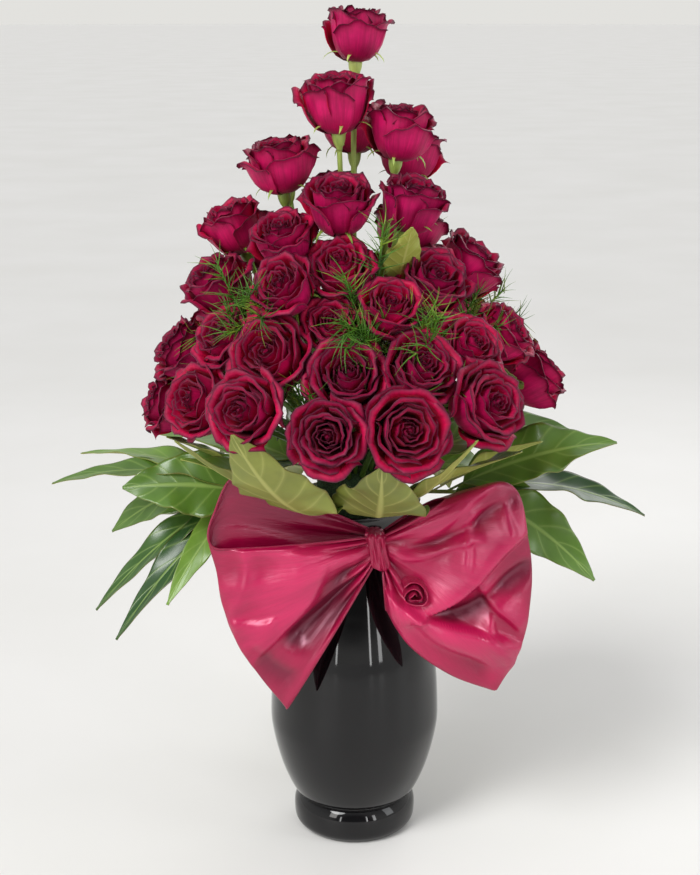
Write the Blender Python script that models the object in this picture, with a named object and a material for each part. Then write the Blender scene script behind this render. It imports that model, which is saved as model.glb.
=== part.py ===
"""Cut roses, leaf sprigs and fern in floral foam, in a turned ceramic vase with a ribbon bow.

The frame: metres, +Z up, the origin under the middle of the vase on its standing surface, front at -Y.
An azimuth is in degrees about +Z, 0 at the front and 90 at +X. A lean is in degrees from straight up.
"""

import math

import bmesh
import bpy
import numpy as np
from mathutils import Quaternion, Vector

# ---- Driving dimensions --------------------------------------------------------------------------

CLEARANCE = 0.0003

WALL = 0.004
FOOT_RADIUS = 0.0495
FOOT_HEIGHT = 0.0285
BELLY_RADIUS = 0.068
BELLY_HEIGHT = 0.106
NECK_RADIUS = 0.044
NECK_LOW, NECK_HIGH = 0.234, 0.262
RIM_RADIUS = 0.052
RIM_HEIGHT = 0.280
VASE_SIDES = 32

FOAM_HALF = 0.0288
FOAM_CORNER = 0.004
FOAM_BOTTOM, FOAM_TOP = 0.165, 0.330

STEM_RADIUS = 0.0021
STEM_SIDES = 7
STEM_STATIONS = 6
STEM_GAP = 0.0007
BLOOM_HEIGHT = 0.86
BLOOM_MIDDLE = 0.44
BLOOM_GAP = 0.0010
FERN_RADIUS = 0.0009
PLUME_RADIUS = 0.0019
ROOT_REACH = 0.0235
ROOT_LOW, ROOT_HIGH = 0.291, 0.303
ROOT_LEAN = 46.0
WIDEST_REACH = 0.184

KNOT_MIDDLE = Vector((0.018, -0.067, 0.261))
KNOT_HALF = Vector((0.0145, 0.0125, 0.020))
BAND_THICKNESS = 0.002
CLOTH_THICKNESS = 0.0024

TWIG_RADIUS = 0.0016
LEAF_THICKNESS = 0.0016

# A bloom's outline, as shares of its width: (height above the calyx, radius).
BLOOM_OUTLINE = (
    (0.07, 0.17),
    (0.22, 0.36),
    (0.42, 0.49),
    (0.62, 0.46),
    (0.77, 0.37),
    (BLOOM_HEIGHT, 0.27),
)

# Every rose: azimuth, reach and height of the middle of its open face, the azimuth and lean that it
# faces, its width. Reach, height and width are in millimetres.
ROSES = (
    (90, 2, 651, 90, 2, 43),
    (-19, 39, 605, -20, 7, 47),
    (49, 45, 584, 50, 8, 45),
    (-63, 63, 559, -60, 8, 44),
    (-10, 68, 532, -5, 22, 45),
    (40, 70, 532, 50, 18, 43),
    (-84, 97, 509, -75, 24, 43),
    (-40, 85, 506, -35, 25, 41),
    (75, 98, 482, 80, 38, 47),
    (-71, 116, 469, -70, 35, 45),
    (-27, 116, 472, -30, 52, 40),
    (-7, 87, 485, -5, 40, 40),
    (39, 98, 474, 30, 42, 45),
    (14, 112, 460, 15, 42, 39),
    (-9, 110, 445, -5, 50, 36),
    (-52, 127, 432, -50, 48, 43),
    (-80, 143, 413, -80, 52, 43),
    (-28, 138, 426, -25, 62, 49),
    (-2, 142, 418, 0, 52, 47),
    (20, 145, 421, 20, 56, 45),
    (42, 132, 428, 40, 52, 41),
    (71, 129, 427, 72, 52, 41),
    (89, 152, 390, 85, 52, 47),
    (-52, 156, 385, -50, 70, 47),
    (-83, 159, 366, -80, 68, 41),
    (-27, 178, 392, -28, 72, 45),
    (-6, 180, 379, -6, 76, 43),
    (12, 184, 383, 12, 76, 50),
    (37, 170, 393, 42, 68, 49),
    (175, 34, 582, 175, 8, 45),
    (-118, 63, 556, -128, 10, 44),
    (128, 56, 562, 118, 12, 45),
    (-170, 76, 522, -170, 22, 45),
    (148, 88, 498, 148, 28, 47),
    (-117, 94, 492, -120, 28, 45),
    (115, 106, 466, 113, 38, 47),
    (-150, 110, 457, -150, 40, 47),
    (176, 120, 446, 176, 44, 47),
    (138, 134, 422, 138, 50, 47),
    (-118, 134, 422, -118, 50, 47),
    (-160, 142, 406, -160, 56, 47),
    (117, 156, 386, 117, 64, 47),
    (157, 160, 378, 157, 68, 49),
    (-132, 160, 376, -132, 68, 49),
    (-176, 164, 368, -176, 72, 45),
)

# Every leaf sprig: azimuth, reach and height of its twig's tip, then its leaves, each with the share of
# the twig where it grows, azimuth, reach and height of its tip, the rise of its arch, its width, and the
# roll of its blade. Lengths are in millimetres and angles in degrees.
SPRIGS = {
    "leaf_sprig_front": (
        (-14, 68, 290),
        (
            (1.0, -24, 166, 358, -2, 58, 0),
            (0.8, -44, 158, 350, 0, 44, 0),
            (0.6, -58, 150, 330, 7, 40, 0),
        ),
    ),
    "leaf_sprig_front_right": (
        (16, 68, 288),
        (
            (0.9, 4, 138, 356, -1, 62, 0),
            (1.0, 28, 158, 352, 4, 30, 0),
            (0.8, 46, 165, 346, 2, 44, 0),
        ),
    ),
    "leaf_sprig_right": (
        (74, 82, 291),
        (
            (0.9, 84, 203, 330, 10, 56, 35),
            (1.0, 90, 230, 264, 14, 42, 12),
            (0.8, 75, 191, 228, 18, 52, 45),
            (0.7, 57, 162, 350, 5, 44, 0),
        ),
    ),
    "leaf_sprig_left": (
        (-66, 82, 291),
        (
            (0.8, -79, 181, 298, 4, 58, -50),
            (1.0, -92, 240, 288, 14, 34, 0),
            (0.9, -101, 226, 303, 10, 32, 0),
            (0.6, -80, 146, 336, 5, 36, 20),
        ),
    ),
    "leaf_sprig_left_low": (
        (-96, 76, 289),
        (
            (0.8, -80, 205, 198, 18, 32, -15),
            (0.7, -70, 194, 186, 22, 36, -25),
            (0.9, -62, 160, 218, 16, 30, -30),
            (1.0, -99, 200, 240, 14, 46, -35),
        ),
    ),
    "leaf_sprig_back_left": (
        (-145, 80, 289),
        (
            (1.0, -146, 216, 262, 14, 50, 5),
            (0.8, -124, 205, 300, 12, 54, -15),
            (0.7, -168, 196, 300, 12, 50, 15),
            (0.9, -158, 190, 224, 18, 44, 10),
            (0.75, -122, 190, 236, 16, 42, -10),
        ),
    ),
    "leaf_sprig_back_right": (
        (142, 80, 289),
        (
            (1.0, 142, 218, 272, 14, 50, -5),
            (0.8, 118, 206, 308, 12, 54, 15),
            (0.7, 166, 200, 310, 12, 50, -15),
            (0.9, 154, 196, 232, 18, 46, -10),
            (0.75, 120, 196, 234, 16, 44, 10),
        ),
    ),
}

# Every fern sprig, as for a rose; its width is that of the slim tip that has to stay clear.
FERNS = {
    "fern_sprig_left": (-50, 128, 476, -50, 40, 8),
    "fern_sprig_right": (10, 100, 508, 10, 35, 8),
}

MILLIMETRE = 0.001


# ---- Helpers -------------------------------------------------------------------------------------


def clear_scene():
    for obj in list(bpy.data.objects):
        bpy.data.objects.remove(obj, do_unlink=True)


def finish(name, colour, roughness, coat=0.0, sheen=0.0):
    """A Principled material with one colour."""
    material = bpy.data.materials.new(name)
    material.use_nodes = True
    shader = material.node_tree.nodes["Principled BSDF"]
    shader.inputs["Base Color"].default_value = (*colour, 1.0)
    shader.inputs["Roughness"].default_value = roughness
    shader.inputs["Metallic"].default_value = 0.0
    shader.inputs["Coat Weight"].default_value = coat
    shader.inputs["Sheen Weight"].default_value = sheen
    return material


def add_object(name, bm, material=None, guide=False):
    """Closes the bmesh into a named object; a guide only shapes another object."""
    bmesh.ops.recalc_face_normals(bm, faces=bm.faces)
    mesh = bpy.data.meshes.new(name)
    bm.to_mesh(mesh)
    bm.free()
    obj = bpy.data.objects.new(name, mesh)
    bpy.context.scene.collection.objects.link(obj)
    if material is not None:
        mesh.materials.append(material)
    if guide:
        obj.hide_render = True
        obj.display_type = "WIRE"
    mesh.shade_smooth()
    mesh.set_sharp_from_angle(angle=math.radians(40))
    return obj


def toward(azimuth, lean):
    """The unit vector that points to an azimuth, leaning so far from straight up."""
    turn = math.radians(azimuth)
    tilt = math.radians(lean)
    return Vector(
        (
            math.sin(turn) * math.sin(tilt),
            -math.cos(turn) * math.sin(tilt),
            math.cos(tilt),
        )
    )


def around(azimuth, reach, height):
    """The point at an azimuth and a reach from the vase's axis, at a height."""
    return toward(azimuth, 90) * reach + Vector((0, 0, height))


def bezier(points, share):
    """The point at a share of the way along a Bezier curve with any number of handles."""
    while len(points) > 1:
        points = [a.lerp(b, share) for a, b in zip(points, points[1:])]
    return points[0]


def frames(path, first_side):
    """The tangent, side and normal at each point of a path, turned as little as can be between points."""
    found = []
    side = first_side
    for i, point in enumerate(path):
        before = path[max(i - 1, 0)]
        after = path[min(i + 1, len(path) - 1)]
        tangent = (after - before).normalized()
        side = (side - tangent * side.dot(tangent)).normalized()
        found.append((tangent, side, tangent.cross(side)))
    return found


def skin(bm, rings):
    """Faces between closed rings of points, with a flat cap at each end."""
    made = [[bm.verts.new(point) for point in ring] for ring in rings]
    for low, high in zip(made, made[1:]):
        for i in range(len(low)):
            j = (i + 1) % len(low)
            bm.faces.new((low[i], low[j], high[j], high[i]))
    bm.faces.new(list(reversed(made[0])))
    bm.faces.new(made[-1])


def round_rings(path, radii, sides, first_side=Vector((1, 0, 0))):
    """A ring of points round each point of the path, at its own radius."""
    rings = []
    for point, radius, (_, side, normal) in zip(path, radii, frames(path, first_side)):
        turns = [2 * math.pi * k / sides for k in range(sides)]
        ring = [
            point + (side * math.cos(turn) + normal * math.sin(turn)) * radius
            for turn in turns
        ]
        rings.append(ring)
    return rings


def join(obj, others, operation="UNION"):
    """Boolean modifiers that add the other objects to this one, or cut them from it."""
    for other in others:
        modifier = obj.modifiers.new(other.name, "BOOLEAN")
        modifier.operation = operation
        modifier.solver = "EXACT"
        modifier.object = other


# ---- Vase ----------------------------------------------------------------------------------------


def smooth_profile(points, steps):
    """Points along a Catmull-Rom curve through the given (radius, height) points."""
    padded = [points[0], *points, points[-1]]
    curve = []
    for i in range(len(points) - 1):
        before, start, end, after = (Vector(p) for p in padded[i : i + 4])
        for k in range(steps):
            t = k / steps
            curve.append(
                0.5
                * (
                    2 * start
                    + (end - before) * t
                    + (2 * before - 5 * start + 4 * end - after) * t**2
                    + (3 * start - before - 3 * end + after) * t**3
                )
            )
    curve.append(Vector(points[-1]))
    return curve


def turned(bm, profile, sides):
    """A body turned about Z from a profile that starts and ends on the axis."""
    first = bm.verts.new((0, 0, profile[0].y))
    last = bm.verts.new((0, 0, profile[-1].y))
    rings = []
    for radius, height in profile[1:-1]:
        turns = [2 * math.pi * k / sides for k in range(sides)]
        rings.append(
            [
                bm.verts.new((radius * math.cos(t), radius * math.sin(t), height))
                for t in turns
            ]
        )
    for i in range(sides):
        j = (i + 1) % sides
        bm.faces.new((first, rings[0][j], rings[0][i]))
        bm.faces.new((last, rings[-1][i], rings[-1][j]))
        for low, high in zip(rings, rings[1:]):
            bm.faces.new((low[i], low[j], high[j], high[i]))


def make_vase():
    """One hollow ceramic body: rounded foot, full belly, straight neck and a flared lip."""
    outside = smooth_profile(
        [
            (FOOT_RADIUS - 0.0055, 0.0),
            (FOOT_RADIUS, 0.0085),
            (FOOT_RADIUS, 0.0185),
            (FOOT_RADIUS - 0.0055, FOOT_HEIGHT),
        ],
        2,
    )
    outside += smooth_profile(
        [
            (FOOT_RADIUS + 0.0015, FOOT_HEIGHT + 0.0035),
            (0.0600, 0.055),
            (BELLY_RADIUS - 0.0008, 0.085),
            (BELLY_RADIUS, BELLY_HEIGHT),
            (BELLY_RADIUS - 0.0035, 0.150),
            (0.0535, 0.200),
            (NECK_RADIUS, NECK_LOW),
            (NECK_RADIUS, NECK_HIGH),
            (RIM_RADIUS, RIM_HEIGHT - 0.0015),
        ],
        2,
    )
    inside = smooth_profile(
        [
            (RIM_RADIUS - 0.0025, RIM_HEIGHT),
            (NECK_RADIUS - WALL, NECK_HIGH),
            (NECK_RADIUS - WALL, NECK_LOW),
            (0.0535 - WALL, 0.200),
            (BELLY_RADIUS - 0.0035 - WALL, 0.150),
            (BELLY_RADIUS - WALL, BELLY_HEIGHT),
            (BELLY_RADIUS - 0.0008 - WALL, 0.085),
            (0.0600 - WALL, 0.055),
            (FOOT_RADIUS - WALL - 0.002, FOOT_HEIGHT + 0.006),
        ],
        2,
    )
    inside.append(Vector((FOOT_RADIUS - 0.013, 0.012)))
    profile = [Vector((0, 0)), *outside, *inside, Vector((0, 0.012))]
    bm = bmesh.new()
    turned(bm, profile, VASE_SIDES)
    return add_object("vase", bm, finish("black_glaze", (0.006, 0.004, 0.004), 0.05, coat=1.0))


# ---- Roses ---------------------------------------------------------------------------------------


class Rose:
    """Where one rose sits: its open face's middle, its axis, its width and its stem's root in the foam."""

    def __init__(self, azimuth, reach, height, facing, lean, width):
        self.width = width * MILLIMETRE
        self.axis = toward(facing, lean)
        face = around(azimuth, reach * MILLIMETRE, height * MILLIMETRE)
        self.middle = face - self.axis * self.width * BLOOM_MIDDLE
        share = min(1.0, reach * MILLIMETRE / WIDEST_REACH)
        self.root = around(
            azimuth,
            ROOT_REACH * share**0.65,
            ROOT_LOW + (ROOT_HIGH - ROOT_LOW) * share**2,
        )
        self.root_lean = ROOT_LEAN * share**2

    def calyx(self):
        return self.middle - self.axis * self.width * (BLOOM_HEIGHT - BLOOM_MIDDLE)

    def stem(self, stations):
        """Points from the root in the foam to the calyx."""
        calyx = self.calyx()
        out = toward(math.degrees(math.atan2(self.root.x, -self.root.y)), self.root_lean)
        span = (calyx - self.root).length
        handles = [
            self.root,
            self.root + out * span * 0.4,
            calyx - self.axis * span * 0.3,
            calyx,
        ]
        return [bezier(handles, k / (stations - 1)) for k in range(stations)]


def dense(path, steps):
    """The points of a path with evenly spaced points between them."""
    between = [a.lerp(b, k / steps) for a, b in zip(path, path[1:]) for k in range(steps)]
    return [*between, path[-1]]


def balls(rose):
    """Points with radii that fill a rose roughly: two for its bloom, then some along its stem."""
    bloom = [
        (rose.middle, rose.width * 0.525),
        (rose.middle - rose.axis * rose.width * 0.27, rose.width * 0.30),
    ]
    path = dense(rose.stem(STEM_STATIONS)[1:], 6)
    return bloom, [(point, STEM_RADIUS) for point in path]


def shortfalls(first, second):
    """The steps that would move two roses apart, for each pair of their balls that is too close."""
    for mine, theirs in ((0, 0), (0, 1), (1, 0)):
        for a, a_radius in first[mine]:
            for b, b_radius in second[theirs]:
                apart = a - b
                short = a_radius + b_radius + BLOOM_GAP - apart.length
                if short > 0:
                    yield apart.normalized() * short


def part_blooms(roses, rounds=70):
    """Moves crowded blooms apart until each is clear of its neighbours and of their stems."""
    for _ in range(rounds):
        filled = [balls(rose) for rose in roses]
        moves = [Vector() for _ in roses]
        for i, first in enumerate(roses):
            for j, second in enumerate(roses[:i]):
                if (first.middle - second.middle).length > first.width + second.width + 0.03:
                    continue
                for step in shortfalls(filled[i], filled[j]):
                    moves[i] += step * 0.4
                    moves[j] -= step * 0.4
        for rose, move in zip(roses, moves):
            rose.middle += move


def part_stems(roses, rounds=90):
    """Moves the roots apart, level with the foam's top, until every stem passes clear of the others."""
    need = 2 * STEM_RADIUS + STEM_GAP
    for _ in range(rounds):
        paths = np.array(
            [[tuple(p) for p in dense(rose.stem(STEM_STATIONS), 8)] for rose in roses]
        )
        moves = np.zeros((len(roses), 2))
        for i in range(1, len(roses)):
            gaps = paths[i][None, :, None, :] - paths[:i, None, :, :]
            lengths = np.linalg.norm(gaps, axis=3)
            for j in np.nonzero(lengths.min(axis=(1, 2)) < need)[0]:
                near = np.unravel_index(lengths[j].argmin(), lengths[j].shape)
                level = gaps[j][near][:2]
                short = need - lengths[j][near]
                step = level / max(np.linalg.norm(level), 1e-6) * short * 0.55
                moves[i] += step
                moves[j] -= step
        for rose, move in zip(roses, moves):
            rose.root.x += move[0]
            rose.root.y += move[1]


def make_rose(name, rose):
    """One grown piece: stem, calyx and a full bloom that ends in a flat face."""
    path = rose.stem(STEM_STATIONS)
    radii = [STEM_RADIUS] * (STEM_STATIONS - 1) + [STEM_RADIUS * 1.3]
    calyx = path[-1]
    for height, radius in BLOOM_OUTLINE:
        path.append(calyx + rose.axis * height * rose.width)
        radii.append(radius * rose.width)
    side = rose.axis.orthogonal().normalized()
    bm = bmesh.new()
    skin(bm, round_rings(path, radii, STEM_SIDES, side))
    return add_object(name, bm, finish(name + "_petal", (0.26, 0.003, 0.035), 0.7, sheen=0.6))


def make_fern(name, fern, material):
    """A slim stem that thickens into the middle of its plume and ends in a point."""
    path = fern.stem(STEM_STATIONS + 2)
    path.append(fern.middle + fern.axis * fern.width * BLOOM_MIDDLE)
    radii = [FERN_RADIUS] * STEM_STATIONS + [PLUME_RADIUS, PLUME_RADIUS, FERN_RADIUS * 0.5]
    bm = bmesh.new()
    skin(bm, round_rings(path, radii, STEM_SIDES, fern.axis.orthogonal().normalized()))
    return add_object(name, bm, material)


def make_sockets(roses):
    """Guides for the holes that the stems make in the foam."""
    sockets = []
    for i, rose in enumerate(roses):
        path = rose.stem(STEM_STATIONS)[:4]
        path[0] = path[0] - (path[1] - path[0]).normalized() * CLEARANCE * 2
        bm = bmesh.new()
        side = rose.axis.orthogonal().normalized()
        skin(bm, round_rings(path, [STEM_RADIUS + CLEARANCE * 2] * len(path), STEM_SIDES, side))
        sockets.append(add_object(f"socket_{i + 1:02d}", bm, guide=True))
    return sockets


# ---- Foam ----------------------------------------------------------------------------------------


def make_foam(cutters):
    """A square block with cut corners that passes the neck and stands above the lip."""
    inner = FOAM_HALF - FOAM_CORNER
    outline = []
    for sx, sy in ((1, -1), (1, 1), (-1, 1), (-1, -1)):
        corner = [Vector((sx * FOAM_HALF, sy * inner, 0)), Vector((sx * inner, sy * FOAM_HALF, 0))]
        outline += corner if sx * sy > 0 else reversed(corner)
    top = [point * (inner / FOAM_HALF) for point in outline]
    rings = [
        [point + Vector((0, 0, FOAM_BOTTOM)) for point in outline],
        [point + Vector((0, 0, FOAM_TOP - FOAM_CORNER)) for point in outline],
        [point + Vector((0, 0, FOAM_TOP)) for point in top],
    ]
    bm = bmesh.new()
    skin(bm, rings)
    foam = add_object("floral_foam", bm, finish("wet_foam", (0.03, 0.09, 0.03), 0.95))
    join(foam, cutters, "DIFFERENCE")
    return foam


# ---- Leaf sprigs ---------------------------------------------------------------------------------


def leaf_rings(base, tip, rise, width, roll):
    """A leaf with its stalk: four-sided rings from the twig to the point of the blade."""
    middle = base.lerp(tip, 0.5) + Vector((0, 0, rise * 2))
    shares = (0.0, 0.14, 0.25, 0.42, 0.6, 0.78, 0.92, 1.0)
    spread = (0.0, 0.0, 0.62, 0.98, 1.0, 0.72, 0.3, 0.0)
    path = [bezier([base, middle, tip], share) for share in shares]
    along = (tip - base).normalized()
    side = along.cross(Vector((0, 0, 1))).normalized()
    side = Quaternion(along, math.radians(roll)) @ side
    rings = []
    for point, part, (_, across, normal) in zip(path, spread, frames(path, side)):
        half = max(0.0008, part * width / 2)
        thick = LEAF_THICKNESS / 2
        rings.append(
            [
                point + across * half,
                point + normal * thick,
                point - across * half,
                point - normal * thick,
            ]
        )
    return rings


def twig_path(azimuth, reach, height):
    """A twig from inside the foam, out over the lip."""
    tip = around(azimuth, reach, height)
    root = around(azimuth, FOAM_HALF * 0.72, RIM_HEIGHT + 0.0065)
    middle = root.lerp(tip, 0.5) + Vector((0, 0, 0.001))
    return [bezier([root, middle, tip], k / 4) for k in range(5)]


def make_sprig(name, twig, leaves, material):
    """A twig with its leaves as one body, and the guide that cuts its hole in the foam."""
    azimuth, reach, height = twig
    path = twig_path(azimuth, reach * MILLIMETRE, height * MILLIMETRE)
    bm = bmesh.new()
    skin(bm, round_rings(path, [TWIG_RADIUS] * 4 + [TWIG_RADIUS * 0.7], 6, Vector((0, 0, 1))))
    sprig = add_object(name, bm, material)
    blades = []
    for i, (share, tip_azimuth, tip_reach, tip_height, rise, width, roll) in enumerate(leaves):
        base = path[0].lerp(path[-1], share * 0.97)
        tip = around(tip_azimuth, tip_reach * MILLIMETRE, tip_height * MILLIMETRE)
        bm = bmesh.new()
        skin(bm, leaf_rings(base, tip, rise * MILLIMETRE, width * MILLIMETRE, roll))
        blades.append(add_object(f"{name}_leaf_{i + 1}", bm, guide=True))
    join(sprig, blades)
    bm = bmesh.new()
    along = (path[1] - path[0]).normalized()
    hole = [path[0] - along * CLEARANCE * 2, *path[1:]]
    skin(bm, round_rings(hole, [TWIG_RADIUS + CLEARANCE * 2] * 5, 6, Vector((0, 0, 1))))
    return add_object(f"{name}_socket", bm, guide=True)


# ---- Bow -----------------------------------------------------------------------------------------

# Each loop's outer edge from its top corner to its hanging tip: (angle above level, distance from the
# knot in mm).
LOOP_EDGES = {
    "left": ((28, 124), (8, 124), (-9, 116), (-29, 122), (-45, 130), (-60, 144)),
    "right": ((28, 109), (14, 113), (0, 116), (-20, 122), (-42, 138), (-53, 145)),
}
LOOP_SPREAD = 0.030
LOOP_INNER = 0.0010
LOOP_STATIONS = 14


def loop_sheet(sign, edge):
    """A grid of points: one row for each point of the edge, from the knot out to the fold and back."""
    rows = []
    for i, (angle, distance) in enumerate(edge):
        share = i / (len(edge) - 1)
        start = KNOT_MIDDLE + Vector(
            (sign * (KNOT_HALF.x + LOOP_INNER), 0, (0.5 - share) * KNOT_HALF.z * 1.2)
        )
        slope = math.radians(angle)
        end = KNOT_MIDDLE + Vector((sign * math.cos(slope), 0, math.sin(slope))) * distance * MILLIMETRE
        row = []
        for k in range(LOOP_STATIONS):
            turn = math.pi * k / (LOOP_STATIONS - 1)
            out = max(0.0, math.sin(turn)) ** 0.8
            point = start.lerp(end, out)
            belly = 0.35 + 0.65 * math.sin(math.pi * min(1.0, out * 0.62 + 0.05))
            point.y += -math.cos(turn) * LOOP_SPREAD * 0.5 * belly - 0.010 * out
            row.append(point)
        rows.append(row)
    return rows


def make_loop(name, sign, edge, material):
    """A ribbon loop: one sheet that leaves the knot, folds over at its outer end and comes back behind."""
    rows = loop_sheet(sign, edge)
    bm = bmesh.new()
    grid = [[bm.verts.new(point) for point in row] for row in rows]
    for low, high in zip(grid, grid[1:]):
        for k in range(LOOP_STATIONS - 1):
            bm.faces.new((low[k], low[k + 1], high[k + 1], high[k]))
    loop = add_object(name, bm, material)
    wall = loop.modifiers.new("cloth", "SOLIDIFY")
    wall.thickness = CLOTH_THICKNESS
    wall.offset = 0.0
    wall.use_rim = True
    return loop


def make_knot(material):
    """A rounded barrel of gathered ribbon."""
    bm = bmesh.new()
    rings = []
    for share, swell in ((-1.0, 0.72), (-0.6, 0.95), (0.0, 1.0), (0.6, 0.95), (1.0, 0.72)):
        ring = []
        for k in range(12):
            turn = 2 * math.pi * k / 12
            ring.append(
                KNOT_MIDDLE
                + Vector(
                    (
                        KNOT_HALF.x * swell * math.cos(turn),
                        KNOT_HALF.y * swell * math.sin(turn),
                        KNOT_HALF.z * share,
                    )
                )
            )
        rings.append(ring)
    skin(bm, rings)
    return add_object("bow_knot", bm, material)


def make_band(material):
    """The turn of ribbon round the neck."""
    inner = NECK_RADIUS + CLEARANCE
    outer = inner + BAND_THICKNESS
    low, high = NECK_LOW + 0.004, NECK_HIGH - 0.004
    corners = ((inner, low), (outer, low), (outer, high), (inner, high))
    bm = bmesh.new()
    columns = []
    for k in range(VASE_SIDES):
        turn = 2 * math.pi * k / VASE_SIDES
        columns.append(
            [bm.verts.new((r * math.cos(turn), r * math.sin(turn), z)) for r, z in corners]
        )
    for k in range(VASE_SIDES):
        here = columns[k]
        there = columns[(k + 1) % VASE_SIDES]
        for i in range(4):
            j = (i + 1) % 4
            bm.faces.new((here[i], here[j], there[j], there[i]))
    return add_object("ribbon_band", bm, material)


# ---- The whole object ----------------------------------------------------------------------------


def main():
    clear_scene()
    make_vase()
    roses = [Rose(*row) for row in ROSES]
    ferns = [Rose(*row) for row in FERNS.values()]
    part_blooms(roses + ferns)
    part_stems(roses + ferns)
    for i, rose in enumerate(roses):
        make_rose(f"rose_{i + 1:02d}", rose)
    for name, fern in zip(FERNS, ferns):
        make_fern(name, fern, finish(name + "_green", (0.12, 0.28, 0.03), 0.6))
    holes = []
    for name, (twig, leaves) in SPRIGS.items():
        leaf = finish(name + "_green", (0.05, 0.13, 0.02), 0.4)
        holes.append(make_sprig(name, twig, leaves, leaf))
    make_foam(make_sockets(roses + ferns) + holes)
    for name, sign in (("left", -1), ("right", 1)):
        satin = finish(f"satin_{name}", (0.45, 0.01, 0.08), 0.35, sheen=0.3)
        make_loop(f"bow_loop_{name}", sign, LOOP_EDGES[name], satin)
    make_knot(finish("satin_knot", (0.45, 0.01, 0.08), 0.35))
    make_band(finish("satin_band", (0.45, 0.01, 0.08), 0.35))


main()
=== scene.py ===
# %% [markdown]
# # Roses in a black vase
# A tall arrangement of crimson roses, laurel leaves and fern, in a black glazed vase tied with a satin bow.
# The solid model comes first, as a frame that nothing here moves. Every petal, leaf and fold of ribbon is
# then built where its plain solid stands, so that the finished piece keeps the real sizes.

# %% Load the frame
import math

import bmesh
import bpy
import numpy as np
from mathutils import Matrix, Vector


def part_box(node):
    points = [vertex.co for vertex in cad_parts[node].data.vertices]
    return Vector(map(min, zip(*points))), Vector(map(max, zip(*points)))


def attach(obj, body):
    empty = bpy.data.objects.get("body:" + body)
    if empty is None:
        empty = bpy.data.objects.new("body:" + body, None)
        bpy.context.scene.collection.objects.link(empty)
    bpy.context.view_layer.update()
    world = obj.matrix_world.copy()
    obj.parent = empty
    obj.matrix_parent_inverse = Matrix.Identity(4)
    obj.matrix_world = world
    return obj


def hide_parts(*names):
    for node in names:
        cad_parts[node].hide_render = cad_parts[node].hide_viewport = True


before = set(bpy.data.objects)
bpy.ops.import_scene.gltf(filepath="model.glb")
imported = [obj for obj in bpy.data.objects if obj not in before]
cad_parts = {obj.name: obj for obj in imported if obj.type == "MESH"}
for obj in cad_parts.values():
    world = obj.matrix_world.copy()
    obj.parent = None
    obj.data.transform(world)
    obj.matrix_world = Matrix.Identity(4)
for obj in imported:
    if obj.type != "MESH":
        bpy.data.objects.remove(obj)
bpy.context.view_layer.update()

# %% [markdown]
# ## Camera
# The camera stands a little over a metre in front of the vase, about as high as the top rose, and looks
# slightly down. A long lens keeps the vase's sides nearly upright. The small shift frames the vase left of
# the middle, which leaves room for the leaves that reach further to the right.

# %% Camera
CAMERA_DISTANCE = 1.188
CAMERA_HEIGHT = 0.66
CAMERA_TILT = 15.6  # degrees below the horizon
LENS = 64.9
SHIFT = -0.005

lens = bpy.data.cameras.new("view_camera")
lens.lens = LENS
lens.shift_x = SHIFT
camera = bpy.data.objects.new("view_camera", lens)
camera.location = (0, -CAMERA_DISTANCE, CAMERA_HEIGHT)
camera.rotation_euler = (math.radians(90 - CAMERA_TILT), 0, 0)
bpy.context.scene.collection.objects.link(camera)
bpy.context.scene.camera = camera
bpy.context.scene.view_settings.view_transform = "Standard"
print("camera at", tuple(camera.location))

# %% [markdown]
# ## Shader helpers
# Every finish here is a Principled shader whose colour, roughness and bump come from a few pattern nodes.
# Wiring nodes by hand takes four lines each, so small helpers do it: one adds a node and plugs in its
# inputs, whether they are numbers or other nodes' outputs, and the others add the nodes that are used most.
# Colours are written as screen values from 0 to 255, which are easier to picture, and turned into the linear
# values that shaders use.


# %% Shader helpers
def rgb(red, green, blue):
    """Screen values from 0 to 255 as a linear colour."""
    parts = [value / 255 for value in (red, green, blue)]
    return (*[((c + 0.055) / 1.055) ** 2.4 if c > 0.04045 else c / 12.92 for c in parts], 1.0)


def grey(value):
    """A grey in linear light."""
    return (value, value, value, 1.0)


BLACK, WHITE = grey(0.0), grey(1.0)


def fill(tree, node, inputs):
    """Sets a node's inputs. Each is a number, a colour or another node's output."""
    for name, value in inputs.items():
        if isinstance(value, bpy.types.NodeSocket):
            tree.links.new(value, node.inputs[name])
        else:
            node.inputs[name].default_value = value


def add(tree, kind, inputs=None, family="ShaderNode", **settings):
    """A node with its settings and inputs."""
    made = tree.nodes.new(family + kind)
    for name, value in settings.items():
        setattr(made, name, value)
    fill(tree, made, inputs or {})
    return made


def ramp(tree, factor, stops):
    """A colour ramp through stops of (position, colour)."""
    made = add(tree, "ValToRGB", {"Fac": factor})
    elements = made.color_ramp.elements
    elements[0].position, elements[0].color = stops[0]
    elements[1].position, elements[1].color = stops[-1]
    for position, colour in stops[1:-1]:
        elements.new(position).color = colour
    return made.outputs["Color"]


def mixed(tree, blend, share, first, second):
    """Two colours mixed, where share is a number or an output."""
    # A Mix node has a set of sockets for each data type. These are the colour ones.
    made = add(tree, "Mix", data_type="RGBA", blend_type=blend)
    fill(tree, made, {0: share, 6: first, 7: second})
    return made.outputs[2]


def maths(tree, operation, first, second=0.0, third=0.0):
    """One sum of two or three numbers or outputs."""
    made = add(tree, "Math", {0: first, 1: second, 2: third}, operation=operation)
    return made.outputs[0]


def noise(tree, vector, scale, detail=3.0):
    """Soft cloudy noise, as an output from 0 to 1."""
    return add(tree, "TexNoise", {"Vector": vector, "Scale": scale, "Detail": detail}).outputs["Fac"]


def stretched(tree, vector, scale):
    """Coordinates stretched by three scales."""
    return add(tree, "Mapping", {"Vector": vector, "Scale": scale}).outputs["Vector"]


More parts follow.
